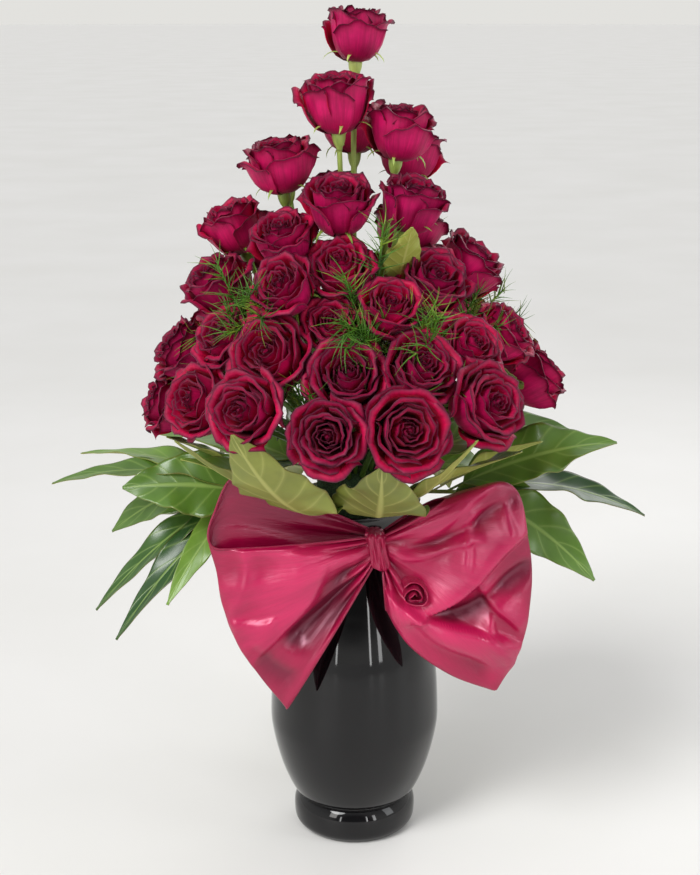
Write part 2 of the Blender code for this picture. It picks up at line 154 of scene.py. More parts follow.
def finish(name, **sockets):
    """A material with a Principled shader. Socket names are given with underscores for spaces."""
    material = bpy.data.materials.new(name)
    material.use_nodes = True
    tree = material.node_tree
    shader = tree.nodes["Principled BSDF"]
    for key, value in sockets.items():
        shader.inputs[key.replace("_", " ")].default_value = value
    return material, tree, shader


def bump(tree, shader, height, strength, distance):
    """Fine relief from a height output."""
    made = add(tree, "Bump", {"Height": height, "Strength": strength, "Distance": distance})
    tree.links.new(made.outputs["Normal"], shader.inputs["Normal"])


def pattern_and_painted_shade(tree, share, body, pattern, dark, light):
    """A colour darkened and lightened by a pattern. dark and light are (position, factor) pairs."""
    return mixed(tree, "MULTIPLY", share, body, ramp(tree, pattern, (dark, light)))


def object_place(tree):
    """Places on the object, in metres."""
    return add(tree, "TexCoord").outputs["Object"]


def mark(tree, name):
    """A number kept on the mesh's points."""
    return add(tree, "Attribute", attribute_name=name).outputs["Fac"]


print("crimson in linear light:", [round(c, 3) for c in rgb(150, 18, 70)])

# %% [markdown]
# ## Mesh helpers
# Petals, leaf blades and sepals are all thin shells: a grid of points for each face, joined round the rim,
# so that each one is closed and has a real thickness. Stems and twigs are rings of points joined one after
# the other. Building either in bmesh, one face at a time, is slow for hundreds of petals. A builder that
# keeps whole arrays of points and faces makes the same mesh in a moment.


# %% Mesh helpers
class Gathered:
    """Closed shells and tubes, gathered into one mesh."""

    def __init__(self):
        self.points = []
        self.corners = []
        self.sizes = []
        self.uv = []
        self.marks = {}
        self.count = 0

    def keep(self, points, uv, faces, marks):
        """Adds points, their UV places, the faces that number them, and marks, single or one a point."""
        self.points.append(points.reshape(-1, 3))
        self.uv.append(uv.reshape(-1, 2))
        for part in faces:
            part = part.reshape(-1, part.shape[-1])
            self.corners.append((part + self.count).ravel())
            self.sizes.append(np.full(len(part), part.shape[1]))
        size = len(self.points[-1])
        for name, value in marks.items():
            self.marks.setdefault(name, []).append(np.broadcast_to(value, size).astype(np.float32))
        self.count += size

    def shell(self, outer, inner, uv, **marks):
        """Two grids of points, rows by columns, joined round their rim. The second grid is marked inner."""
        rows, columns = outer.shape[:2]
        a = np.arange(rows * columns).reshape(rows, columns)
        b = a + rows * columns
        faces = [
            np.stack([a[:-1, :-1], a[:-1, 1:], a[1:, 1:], a[1:, :-1]], -1),
            np.stack([b[:-1, :-1], b[1:, :-1], b[1:, 1:], b[:-1, 1:]], -1),
            np.stack([a[-1, :-1], a[-1, 1:], b[-1, 1:], b[-1, :-1]], -1),
            np.stack([a[0, 1:], a[0, :-1], b[0, :-1], b[0, 1:]], -1),
            np.stack([a[:-1, 0], a[1:, 0], b[1:, 0], b[:-1, 0]], -1),
            np.stack([a[1:, -1], a[:-1, -1], b[:-1, -1], b[1:, -1]], -1),
        ]
        side = np.repeat([0.0, 1.0], rows * columns)
        both = np.concatenate([outer.reshape(-1, 3), inner.reshape(-1, 3)])
        self.keep(both, np.concatenate([uv, uv]), faces, {"inner": side, **marks})

    def tube(self, path, radii, sides=8, **marks):
        """A closed tube along a path, with a radius at each point."""
        path = np.asarray(path, float)
        radii = np.broadcast_to(radii, len(path))
        along = np.gradient(path, axis=0)
        along /= np.linalg.norm(along, axis=1, keepdims=True)
        side = np.cross(along[0], [0.31, 0.87, 0.38])
        rings = []
        turn = np.arange(sides) * 2 * math.pi / sides
        for point, ahead, radius in zip(path, along, radii):
            side = side - ahead * np.dot(side, ahead)
            side /= np.linalg.norm(side)
            up = np.cross(ahead, side)
            rings.append(point + radius * (np.outer(np.cos(turn), side) + np.outer(np.sin(turn), up)))
        self.rings(np.array(rings), **marks)

    def rings(self, rings, **marks):
        """Rings of points, each joined to the next, with both ends closed."""
        count, sides = rings.shape[:2]
        a = np.arange(count * sides).reshape(count, sides)
        b = np.roll(a, -1, axis=1)
        ends = np.array([rings[0].mean(axis=0), rings[-1].mean(axis=0)])
        low, high = count * sides, count * sides + 1
        faces = [
            np.stack([a[:-1], b[:-1], b[1:], a[1:]], -1),
            np.stack([b[0], a[0], np.full(sides, low)], -1),
            np.stack([a[-1], b[-1], np.full(sides, high)], -1),
        ]
        share = np.repeat(np.linspace(0, 1, count), sides)
        round_share = np.tile(np.arange(sides) / sides, count)
        uv = np.stack([np.append(round_share, [0, 0]), np.append(share, [0, 1])], -1)
        self.keep(np.concatenate([rings.reshape(-1, 3), ends]), uv, faces, {"inner": 0.0, **marks})

    def piece(self, name, material, slot, replaced=()):
        """The mesh as a finished piece that rides on the body."""
        points = np.concatenate(self.points)
        corners = np.concatenate(self.corners).astype(np.int32)
        sizes = np.concatenate(self.sizes)
        mesh = bpy.data.meshes.new(name)
        mesh.vertices.add(len(points))
        mesh.vertices.foreach_set("co", points.ravel())
        mesh.loops.add(len(corners))
        mesh.loops.foreach_set("vertex_index", corners)
        mesh.polygons.add(len(sizes))
        starts = np.concatenate([[0], np.cumsum(sizes)[:-1]]).astype(np.int32)
        mesh.polygons.foreach_set("loop_start", starts)
        mesh.update(calc_edges=True)
        layer = mesh.uv_layers.new(name="surface")
        layer.data.foreach_set("uv", np.concatenate(self.uv)[corners].ravel().astype(np.float32))
        for key, values in self.marks.items():
            kept = mesh.attributes.new(key, "FLOAT", "POINT")
            kept.data.foreach_set("value", np.concatenate(values))
        mesh.shade_smooth()
        mesh.materials.append(material)
        made = bpy.data.objects.new(name, mesh)
        bpy.context.scene.collection.objects.link(made)
        return settle(made, replaced)


def settle(made, replaced=()):
    """Ties a finished piece to the body and hides the solids that it stands for."""
    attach(made, "root")
    if replaced:
        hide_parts(*replaced)
    return made


# The largest of the random angles, a touch over one turn in radians.
ANY_TURN = 6.3


def smooth(x):
    """0 to 1 with soft ends."""
    x = np.clip(x, 0.0, 1.0)
    return x * x * (3 - 2 * x)


def thickened(middle, thickness):
    """The two faces of a sheet, from the grid of its middle and its thickness at each point."""
    across = np.gradient(middle, axis=1)
    along = np.gradient(middle, axis=0)
    normal = np.cross(across, along)
    normal /= np.maximum(np.linalg.norm(normal, axis=2, keepdims=True), 1e-12)
    half = normal * np.broadcast_to(thickness, middle.shape[:2])[:, :, None] / 2
    return middle + half, middle - half


def grid_uv(columns, rows):
    """UV places for a grid: across from 0 to 1, and along from 0 to 1."""
    u, v = np.meshgrid(columns, rows)
    return np.stack([u, v], -1).reshape(-1, 2)


def curve(points, count):
    """A smooth path through the points, read at even shares of its length."""
    points = np.asarray(points, float)
    ends = np.vstack([2 * points[0] - points[1], points, 2 * points[-1] - points[-2]])
    dense = []
    t = np.linspace(0, 1, 12, endpoint=False)[:, None]
    for p0, p1, p2, p3 in zip(ends[:-3], ends[1:-2], ends[2:-1], ends[3:]):
        square = (2 * p0 - 5 * p1 + 4 * p2 - p3) * t**2
        dense.append(0.5 * (2 * p1 + (p2 - p0) * t + square + (3 * p1 - p0 - 3 * p2 + p3) * t**3))
    dense = np.vstack([*dense, points[-1:]])
    run = np.concatenate([[0], np.cumsum(np.linalg.norm(np.diff(dense, axis=0), axis=1))])
    wanted = np.linspace(0, run[-1], count)
    return np.stack([np.interp(wanted, run, dense[:, k]) for k in range(dense.shape[1])], -1)


def toward(azimuth, lean):
    """A unit direction that leans from upright towards azimuth: 0 is the front, 90 the right, in degrees."""
    a, b = math.radians(azimuth), math.radians(lean)
    return np.array([math.sin(a) * math.sin(b), -math.cos(a) * math.sin(b), math.cos(b)])


def around(azimuth, reach, height):
    """A point at an azimuth, a distance from the vase's middle, and a height, both in millimetres."""
    a = math.radians(azimuth)
    return np.array([math.sin(a) * reach, -math.cos(a) * reach, height]) / 1000


print("helpers ready")

# %% [markdown]
# ## Floor and light
# A wide pale floor and a pale sky suit the soft daylight on real flowers. A broad sun from the upper left
# gives the petals and the ribbon's folds their shaded sides, and weak lamps fill the right and the back.
# Tall narrow lamps stand where window panes would, because a black glaze shows nothing but what it reflects.


# %% Floor and light
LAMP_SPREAD = math.radians(100)  # narrow enough to keep pools of light off the floor below a lamp
SKY_STRENGTH = 0.80
SUN_STRENGTH = 1.8
SUN_WIDTH = math.radians(26)
SUN_RAY = (0.62, 0.75, -1.0)  # the way its light travels
FLOOR_RADIUS = 40.0
FLOOR_DROP = 0.0004  # keeps the floor's face just under the vase's foot

# Name, place, the height it aims at on the vase's axis, size, power and colour.
LAMPS = (
    ("window_left", (-1.3, -1.5, 1.2), 0.3, (0.5, 1.2), 3, (1.0, 0.98, 0.95)),
    ("window_right", (1.6, -0.6, 0.9), 0.35, (0.5, 1.3), 1.8, (0.95, 0.98, 1.0)),
    ("pane_right", (1.3, -1.7, 0.62), 0.2, (0.20, 1.0), 1.3, (1, 1, 1)),
    ("pane_right_second", (0.85, -2.0, 0.62), 0.2, (0.10, 1.0), 0.9, (1, 1, 1)),
    ("pane_left", (-1.0, -2.1, 0.62), 0.2, (0.10, 1.0), 0.8, (1, 1, 1)),
    ("window_behind", (0.9, 1.5, 1.2), 0.35, (1.2, 1.2), 2.4, (1, 1, 1)),
)


def hang(name, light, ray, place=(0, 0, 0)):
    """Puts a light into the scene, shining along ray."""
    made = bpy.data.objects.new(name, light)
    made.location = place
    made.rotation_euler = ray.to_track_quat("-Z", "Y").to_euler()
    bpy.context.scene.collection.objects.link(made)


def lamp(name, place, aim, size, power, colour):
    """A rectangular lamp that aims at the vase's axis, at the height aim."""
    light = bpy.data.lights.new(name, "AREA")
    light.shape = "RECTANGLE"
    light.size, light.size_y = size
    light.energy = power
    light.color = colour
    light.spread = LAMP_SPREAD
    hang(name, light, Vector((0, 0, aim)) - Vector(place), place)


sky = bpy.data.worlds.new("pale_room")
sky.use_nodes = True
tree = sky.node_tree
looking = add(tree, "SeparateXYZ", {"Vector": add(tree, "TexCoord").outputs["Generated"]}).outputs
shade = ramp(tree, looking["Z"], ((0.0, rgb(250, 249, 245)), (0.28, rgb(246, 246, 243)),
                                  (0.6, rgb(208, 208, 208)), (1.0, rgb(214, 214, 216))))
# The room in front of the vase is dim, so its black glaze stays black between the window panes it reflects.
to_front = maths(tree, "MULTIPLY", looking["Y"], -1.0)
dim = ramp(tree, to_front, ((0.70, WHITE), (0.86, grey(0.18))))
above_floor = ramp(tree, looking["Z"], ((0.04, BLACK), (0.09, WHITE)))
dim = mixed(tree, "MIX", above_floor, WHITE, dim)
tree.links.new(mixed(tree, "MULTIPLY", 1.0, shade, dim), tree.nodes["Background"].inputs["Color"])
tree.nodes["Background"].inputs["Strength"].default_value = SKY_STRENGTH
bpy.context.scene.world = sky

sun = bpy.data.lights.new("daylight", "SUN")
sun.energy = SUN_STRENGTH
sun.angle = SUN_WIDTH
hang("daylight", sun, Vector(SUN_RAY))
for row in LAMPS:
    lamp(*row)

floor_mesh = bpy.data.meshes.new("floor")
rim = bmesh.new()
bmesh.ops.create_circle(rim, cap_ends=True, segments=96, radius=FLOOR_RADIUS)
rim.to_mesh(floor_mesh)
rim.free()
floor = bpy.data.objects.new("floor", floor_mesh)
floor.location.z = -FLOOR_DROP
bpy.context.scene.collection.objects.link(floor)
pale, tree, shader = finish("pale_table", Roughness=0.55)
speckle = noise(tree, object_place(tree), 3.0, 4.0)
tree.links.new(ramp(tree, speckle, ((0.3, rgb(228, 227, 224)), (0.7, rgb(233, 232, 230)))),
               shader.inputs["Base Color"])
floor_mesh.materials.append(pale)
print("floor and", len(bpy.data.lights), "lamps")

# %% [markdown]
# ## Vase
# The real vase is thrown or cast, then dipped in a black glaze: a small round foot, a waist above it, a full
# belly and a narrow neck that opens into a rim. Turning an outline about the upright axis is the way to make
# any thrown pot. The outline here is a smooth curve through the solid's own few points, so its sides have no
# flats.

# %% Vase
VASE_SIDES = 128
FOOT_POINTS, BODY_POINTS, INSIDE_POINTS = 40, 110, 60
FOOT_OUTLINE = ((0.0, 0.0), (0.0400, 0.0), (0.0452, 0.0012), (0.0488, 0.0055), (0.0497, 0.0135),
                (0.0492, 0.0200), (0.0470, 0.0250), (0.0446, 0.0282))
BODY_OUTLINE = ((0.0446, 0.0282), (0.0452, 0.0296), (0.0510, 0.0345), (0.0600, 0.0560), (0.0668, 0.0840),
                (0.0680, 0.1060), (0.0646, 0.1500), (0.0535, 0.2000), (0.0446, 0.2340), (0.0440, 0.2480),
                (0.0446, 0.2620), (0.0480, 0.2725), (0.0520, 0.2780))
INSIDE_OUTLINE = ((0.0522, 0.2786), (0.0518, 0.2797), (0.0500, 0.2798), (0.0460, 0.2722), (0.0412, 0.2620),
                  (0.0405, 0.2480), (0.0412, 0.2340), (0.0497, 0.2000), (0.0606, 0.1500), (0.0640, 0.1060),
                  (0.0630, 0.0850), (0.0560, 0.0560), (0.0400, 0.0200), (0.0, 0.0125))


def turned(outline, sides):
    """Rings of points round the upright axis."""
    turn = np.arange(sides) * 2 * math.pi / sides
    radius, height = (np.array(column)[:, None] for column in zip(*outline))
    return np.stack([radius * np.cos(turn), radius * np.sin(turn), height + 0 * turn], -1)


outline = np.vstack([curve(FOOT_OUTLINE, FOOT_POINTS), curve(BODY_OUTLINE, BODY_POINTS)[1:],
                     curve(INSIDE_OUTLINE, INSIDE_POINTS)])
outline[0, 0] = outline[-1, 0] = 1e-5
vase_black, tree, shader = finish("black_glaze", Roughness=0.05, Specular_IOR_Level=0.42)
place = object_place(tree)
cloud = noise(tree, place, 14.0, 5.0)
tree.links.new(ramp(tree, cloud, ((0.3, rgb(6, 6, 8)), (0.7, rgb(13, 12, 14)))), shader.inputs["Base Color"])
bump(tree, shader, noise(tree, place, 22.0, 2.0), 0.16, 0.0012)
vase = Gathered()
vase.rings(turned(outline, VASE_SIDES))
vase = vase.piece("glazed_vase", vase_black, "black_glaze", ["vase"])
print("vase:", len(vase.data.polygons), "faces")

# %% [markdown]
# ## Foam
# Wet foam stands in the neck and holds every stem. It is a block of open cells, dark green when soaked, and
# hardly shows under the leaves. The solid's own shape is right, so it only gets a finish of small pits, with
# painted shade in each pit.

# %% Foam
foam_green, tree, shader = finish("foam_green", Roughness=0.95)
place = object_place(tree)
cells = add(tree, "TexVoronoi", {"Vector": place, "Scale": 900.0}).outputs["Distance"]
# Painted shade: the pits of the bump are coloured darker.
painted_pit_shade = ramp(tree, cells, ((0.1, rgb(14, 24, 14)), (0.8, rgb(48, 74, 40))))
tree.links.new(painted_pit_shade, shader.inputs["Base Color"])
bump(tree, shader, cells, 0.6, 0.0006)
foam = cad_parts["floral_foam"]
foam.data.materials.clear()
foam.data.materials.append(foam_green)
print("foam finished")

# %% [markdown]
# ## Where the roses are
# Each rose solid is a stem of seven sided rings that ends in a bloom of rings. Walking its mesh from the
# root, one ring at a time, gives back the stem's path, the bloom's axis and its width. The petals can then
# grow exactly there.


# %% Read the rose solids
STEM_RINGS = 6
ROOT_SPREAD = 0.0052
TOP_SHARE = 0.27  # radius of a bloom's top ring, as a share of its width
TOP_HEIGHT = 0.86  # height of a bloom's top ring above its calyx, as a share of its width
PETAL_SHARE = 0.87  # width of a bloom's solid, as a share of its petals' width
PETAL_RISE = 1.05  # height of a bloom's petals, as a share of its solid's height


class Rose:
    """One rose's stem path, calyx, axis and petal width."""

    def __init__(self, node):
        bm = bmesh.new()
        bm.from_mesh(node.data)
        bmesh.ops.remove_doubles(bm, verts=bm.verts, dist=1e-5)
        lowest = min(bm.verts, key=lambda v: v.co.z)
        ring = [v for v in bm.verts if (v.co - lowest.co).length < ROOT_SPREAD]
        seen = set(ring)
        middles = []
        while ring:
            middles.append(np.mean([v.co[:] for v in ring], axis=0))
            last = ring
            ring = []
            for vertex in last:
                for edge in vertex.link_edges:
                    other = edge.other_vert(vertex)
                    if other not in seen:
                        seen.add(other)
                        ring.append(other)
        top_radius = np.mean([(v.co - Vector(middles[-1])).length for v in last])
        bm.free()
        self.found = len(middles)
        self.axis = middles[-1] - middles[-2]
        self.axis /= np.linalg.norm(self.axis)
        solid_width = top_radius / TOP_SHARE
        self.calyx = middles[-1] - self.axis * TOP_HEIGHT * solid_width
        self.stem = np.array([*middles[:STEM_RINGS], self.calyx])
        self.width = solid_width / PETAL_SHARE
        self.height = TOP_HEIGHT * solid_width * PETAL_RISE
        self.face = middles[-1]


rose_names = sorted(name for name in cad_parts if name.startswith("rose_"))
roses = [Rose(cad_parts[name]) for name in rose_names]
print(len(roses), "roses; rings", {rose.found for rose in roses}, "widths",
      round(min(r.width for r in roses), 4), "to", round(max(r.width for r in roses), 4))

# %% [markdown]
# ## Rose petals
# A rose's petals wrap round one another in a spiral, each turned about 137 degrees from the last. The inner
# ones stand close and hide the heart. The outer ones lean away, and their rims roll back, which draws the
# dark line that makes a rose read as a rose. Sculpting forty five blooms is out of reach, and copies of one
# look like copies, so each petal is computed: a wall that rises from the calyx, bent round the axis, with
# its top and sides rolled outwards. Openness goes from a side-on bud at the top of the arrangement to the
# flat faces at the bottom.

# %% Petal shape
ACROSS = np.sin(np.linspace(-1, 1, 15) * 1.35) / math.sin(1.35)
ALONG = np.array([0, 0.18, 0.36, 0.52, 0.66, 0.76, 0.83, 0.885, 0.925, 0.955, 0.98, 1.0])
PETAL_THICKNESS = 0.00046
GOLDEN_TURN = math.radians(137.5)
PETAL_UV = grid_uv((ACROSS + 1) / 2, ALONG)


def petal(rng, turn, belly, foot, tip, half_angle, curl, roll_radius, side_roll, point, spiral, ruffle):
    """The middle surface of a petal as a grid of points: rows from foot to rim, columns from side to side.

    belly and foot are radii, tip is the (radius, height) where the rim would be without its roll, and curl is
    how far round the rim rolls, in radians."""
    roll_length = curl * roll_radius
    # The wall's line in radius and height, from the foot out to the belly and up to the tip.
    t = np.linspace(0, 1, 60)[:, None]
    hold = np.array([[foot, 0.0], [belly, 0.02 * tip[1]], [belly * 1.06, 0.55 * tip[1]], tip])
    shares = np.hstack([(1 - t) ** 3, 3 * (1 - t) ** 2 * t, 3 * (1 - t) * t**2, t**3])
    line = shares @ hold
    run = np.concatenate([[0], np.cumsum(np.linalg.norm(np.diff(line, axis=0), axis=1))])
    slope = np.gradient(line, run, axis=0)
    slope /= np.linalg.norm(slope, axis=1, keepdims=True)
    u, v = ACROSS[None, :], ALONG[:, None]
    # The rim's outline: lower at the sides, with a small point and an uneven edge.
    top = 1 - 0.16 * np.abs(u) ** 2.8 + point * (np.exp(-((u / 0.18) ** 2)) - 0.35)
    top = top + 0.014 * np.sin(7 * u + rng.uniform(0, ANY_TURN))
    reach = (run[-1] + roll_length * 0.35) * top
    s = v * reach
    roll_start = reach - roll_length * (1 - 0.25 * np.abs(u))
    flat = np.minimum(s, roll_start)
    radius, height = np.interp(flat, run, line[:, 0]), np.interp(flat, run, line[:, 1])
    out, up = np.interp(flat, run, slope[:, 0]), np.interp(flat, run, slope[:, 1])
    bend = np.clip(s - roll_start, 0, None) / roll_radius
    radius = radius + roll_radius * (np.sin(bend) * out + (1 - np.cos(bend)) * up)
    height = height + roll_radius * (np.sin(bend) * up - (1 - np.cos(bend)) * out)
    # Across the petal, its two sides roll outwards too.
    held = np.maximum(radius, 0.5 * belly)
    half = half_angle * (0.72 + 0.28 * smooth(v / 0.6)) * held
    side = np.abs(u) * half
    kept = half * (1 - side_roll)
    past = np.clip(side - kept, 0, None)
    strength = smooth((v - 0.35) / 0.4)
    side_bend = past / (roll_radius * 1.1) * strength
    side = np.minimum(side, kept) + roll_radius * 1.1 * np.sin(side_bend) + past * (1 - strength)
    angle = turn + np.sign(u) * side / held
    # Small waves keep any two petals from matching.
    waves = [rng.uniform(0, ANY_TURN) for _ in range(4)]
    radius = radius + roll_radius * 1.1 * (1 - np.cos(side_bend)) + spiral * u
    radius = radius + ruffle * (np.sin(3 * angle + waves[0]) * v + 1.1 * np.sin(8 * angle + waves[1]) * v**4)
    height = height + ruffle * (np.sin(5 * angle + waves[2]) * v**2 + 0.8 * np.sin(11 * u + waves[3]) * v**6)
    return np.stack([radius * np.cos(angle), radius * np.sin(angle), height * np.ones_like(angle)], -1)


edge_fade = np.minimum((1 - ALONG[:, None]) * 6, (1 - np.abs(ACROSS[None, :])) * 5)
PETAL_WALL = PETAL_THICKNESS * (0.35 + 0.65 * np.sqrt(np.clip(edge_fade, 0, 1)))
print("a petal has", len(ALONG), "rows of", len(ACROSS), "points on each face")

# %% [markdown]
# ## Petal velvet
# A dark rose's petals are deep crimson with a purple bloom, redder inside than outside, and almost black
# along the rim, where they dry first. Fine veins run from foot to rim. Tiny cells on the surface scatter
# light like velvet, so they look dusty pink at a glancing angle. Sheen gives that dust, a ramp along the
# petal gives the rim, and noise stretched along the petal gives the veins.


# %% Petal velvet
def petal_velvet():
    """Deep crimson, darker along the rim, veined and dusty at a glancing angle."""
    material, tree, shader = finish(
        "petal_velvet",
        Roughness=0.52,
        Specular_IOR_Level=0.36,
        Specular_Tint=(1.0, 0.62, 0.76, 1),
        Sheen_Weight=0.20,
        Sheen_Roughness=0.30,
        Sheen_Tint=(1.0, 0.40, 0.62, 1),
    )
    uv = add(tree, "UVMap", uv_map="surface").outputs["UV"]
    up_petal = add(tree, "SeparateXYZ", {"Vector": uv}).outputs["Y"]
    # Both ramps darken towards the petal's foot, deep inside the bloom: painted shade.
    outside = ramp(tree, up_petal, (
        (0.0, rgb(104, 4, 40)), (0.35, rgb(180, 8, 76)), (0.72, rgb(204, 14, 94)),
        (0.90, rgb(190, 12, 84)), (0.965, rgb(142, 10, 62)), (1.0, rgb(66, 8, 34)),
    ))
    inside = ramp(tree, up_petal, (
        (0.0, rgb(92, 2, 16)), (0.4, rgb(182, 5, 40)), (0.8, rgb(226, 12, 70)),
        (0.92, rgb(204, 12, 74)), (0.97, rgb(146, 10, 60)), (1.0, rgb(70, 8, 34)),
    ))
    body = mixed(tree, "MIX", mark(tree, "inner"), outside, inside)
    # Each bloom keeps a tone of its own: some redder, some deeper and more purple.
    deeper = mixed(tree, "MULTIPLY", 1.0, body, (0.62, 0.70, 0.80, 1))
    toned = mixed(tree, "MIX", mark(tree, "tone"), body, deeper)
    vein = noise(tree, stretched(tree, uv, (26, 2.2, 1)), 1.0, 4.0)
    veined = pattern_and_painted_shade(tree, 0.55, toned, vein, (0.25, (0.42, 0.36, 0.40, 1)), (0.75, (1.3, 1.2, 1.25, 1)))
    blotch = noise(tree, object_place(tree), 75.0, 3.0)
    final = pattern_and_painted_shade(tree, 0.6, veined, blotch, (0.3, (0.5, 0.46, 0.52, 1)), (0.7, grey(1.25)))
    tree.links.new(final, shader.inputs["Base Color"])
    bump(tree, shader, vein, 0.3, 0.0006)
    return material


velvet = petal_velvet()
print("petal velvet has", len(velvet.node_tree.nodes), "nodes")

# %% [markdown]
# ## Blooms
# Twenty odd petals make one bloom. Their belly, tip and roll all follow t, which is 0 at the heart and 1 at
# the outermost petal, so one table of a few values describes every rose. A small closed heart fills the
# middle, where the first petals can't meet.


# %% Blooms
PETALS = 25
PEELED_PETALS = 3  # the outermost ones, which lean away even from a bud
HEART_SIDES = 10
BLOOM_SEED = 100
HEART_SHARES = ((0.02, 0.0), (0.09, 0.12), (0.115, 0.45), (0.10, 0.70), (0.055, 0.82), (0.01, 0.86))


def placed(grid, rose, turned_by):
    """Points about an upright axis at the origin, turned by a rose's basis and moved to its calyx."""
    return grid @ turned_by.T + rose.calyx


def bloom(rose, openness, rng):
    """The petals of one rose, as a gathered mesh."""
    gathered = Gathered()
    half_width = rose.width / 2
    basis = np.array(Vector(rose.axis).to_track_quat("Z", "Y").to_matrix())
    turn = rng.uniform(0, ANY_TURN)
    tone = rng.uniform(0.0, 0.65)
    for k in range(PETALS):
        t = k / (PETALS - 1)
        turn += GOLDEN_TURN + rng.uniform(-0.14, 0.14)
        opened = openness * rng.uniform(0.8, 1.2)
        peeled = 1.0 if k >= PETALS - PEELED_PETALS else 0.0
        bud = 1 - opened
        tip_height = np.interp(t, [0, 0.25, 0.55, 0.8, 1], [0.88, 0.93 + 0.02 * bud, 0.95 + 0.03 * bud,
                               0.83 + 0.16 * bud, 0.66 + 0.32 * bud - 0.20 * peeled * bud])
        tip_radius = np.interp(t, [0, 0.25, 0.55, 0.8, 1], [0.03, 0.15 + 0.07 * opened, 0.44 + 0.16 * opened,
                               0.68 + 0.22 * opened, 0.84 + 0.20 * opened + 0.16 * peeled * bud])
        middle = petal(
            rng,
            turn,
            belly=half_width * (0.09 + 0.80 * t**0.9) * (0.90 + 0.08 * opened),
            foot=half_width * 0.07,
            tip=(half_width * tip_radius, rose.height * tip_height * rng.uniform(0.95, 1.03)),
            half_angle=math.radians(np.interp(t, [0, 0.3, 0.6, 1], [118, 90, 70, 62 - 14 * peeled])),
            curl=rng.uniform(0.7, 1.2) * np.interp(t, [0, 0.2, 0.6, 1], [0.5, 1.1, 1.7, 2.0 + 0.3 * opened]),
            roll_radius=half_width * np.interp(t, [0, 0.3, 1], [0.05, 0.06, 0.13]) * rng.uniform(0.8, 1.25),
            side_roll=np.interp(t, [0, 0.3, 1], [0.03, 0.10, 0.24]) * rng.uniform(0.6, 1.3),
            point=np.interp(t, [0, 0.4, 1], [0.0, 0.03, 0.07]) * rng.uniform(0.2, 1.5),
            spiral=half_width * 0.04 * np.interp(t, [0, 0.2, 1], [1.3, 1.2, 0.8]),
            ruffle=0.0004 + 0.0008 * t,
        )
        outer, inner = thickened(middle, PETAL_WALL)
        gathered.shell(placed(outer, rose, basis), placed(inner, rose, basis), PETAL_UV, tone=tone)
    heart = turned([(r * half_width, h * rose.height) for r, h in HEART_SHARES], HEART_SIDES)
    gathered.rings(placed(heart, rose, basis), tone=tone)
    return gathered


def openness_of(rose):
    """Roses low in the arrangement are open, and those at the top are still buds."""
    return float(np.interp(rose.face[2], [0.40, 0.48, 0.55, 0.66], [1.0, 0.62, 0.36, 0.16]))


triangles = 0
for i, (name, rose) in enumerate(zip(rose_names, roses)):
    rng = np.random.default_rng(BLOOM_SEED + i)
    made = bloom(rose, openness_of(rose), rng).piece(f"bloom_{name[5:]}", velvet, "rose", [name])
    triangles += 2 * len(made.data.polygons)
print(len(roses), "blooms,", triangles, "triangles")

# %% [markdown]
# ## Stems, hips and sepals
# Below each bloom the stem swells into a small green hip, with five narrow sepals that spread and curl down
# once the bud opens. The stems turn pale yellow green towards the top. A tube that follows the solid's own
# path makes the stem, with a few hooked thorns, and the sepals are thin shells like the petals.


# %% Green stem finish
def stem_green():
    """Green that turns paler and yellower with height, with fine streaks along the stem."""
    material, tree, shader = finish("stem_green", Roughness=0.42, Specular_IOR_Level=0.45)
    place = object_place(tree)
    tall = maths(tree, "MULTIPLY_ADD", add(tree, "SeparateXYZ", {"Vector": place}).outputs["Z"], 3.2, -1.1)
    body = ramp(tree, tall, ((0.05, rgb(74, 104, 34)), (0.45, rgb(128, 158, 62)), (0.85, rgb(184, 202, 112))))
    streak = noise(tree, stretched(tree, place, (400, 400, 45)), 1.0, 3.0)
    final = pattern_and_painted_shade(tree, 0.6, body, streak, (0.3, (0.55, 0.6, 0.45, 1)), (0.7, (1.15, 1.12, 1.05, 1)))
    tree.links.new(final, shader.inputs["Base Color"])
    bump(tree, shader, streak, 0.3, 0.0004)
    return material


green = stem_green()
print("stem green ready")

# %% Stems, hips and sepals
STEM_RADIUS = 0.0021
STEM_POINTS = 26
STEM_SIDES, HIP_SIDES, THORN_SIDES = 8, 12, 5
SEPALS, THORNS = 5, 3  # on each rose
STEM_SEED = 500
HIP_RADIUS = 0.0052
HIP_OUTLINE = ((0.0021, -0.0125), (0.0024, -0.0100), (0.0038, -0.0075), (0.0048, -0.0040), (HIP_RADIUS, 0.0),
               (0.0048, 0.0016), (0.0020, 0.0022))  # radius and height above the calyx
THORN_REACH = 0.0052  # from the stem's middle
THORN_HOOK = 0.001  # how far its point turns down
THORN_RADII = (0.0012, 0.0007, 0.0001)
SEPAL_LENGTH = 0.024
SEPAL_WIDTH = 0.0042
SEPAL_ROWS = np.linspace(0, 1, 9)
SEPAL_COLUMNS = np.linspace(-1, 1, 5)


def sepal(rng, turn, hang):
    """A narrow pointed blade from the hip's edge, which arches out and down by hang degrees."""
    u, v = np.meshgrid(SEPAL_COLUMNS, SEPAL_ROWS)
    width = SEPAL_WIDTH * (1 - SEPAL_ROWS) ** 0.75 * (0.7 + 0.6 * np.sin(SEPAL_ROWS * math.pi * 0.6))
    bend = np.radians(20 + (70 + hang) * SEPAL_ROWS ** 1.2)
    step = SEPAL_LENGTH * rng.uniform(0.75, 1.1) / (len(SEPAL_ROWS) - 1)
    out = HIP_RADIUS * 0.8 + np.cumsum(np.sin(bend)) * step
    up = np.cumsum(np.cos(bend)) * step - step
    side = u * width[:, None] / 2
    radius = out[:, None] - 0.12 * np.abs(side)
    height = up[:, None] + 0.35 * np.abs(side)
    sway = rng.uniform(-0.25, 0.25)
    angle = turn + side / np.maximum(radius, 0.004) + sway * v**2
    grid = np.stack([radius * np.cos(angle), radius * np.sin(angle), height], -1)
    return thickened(grid, 0.0004)


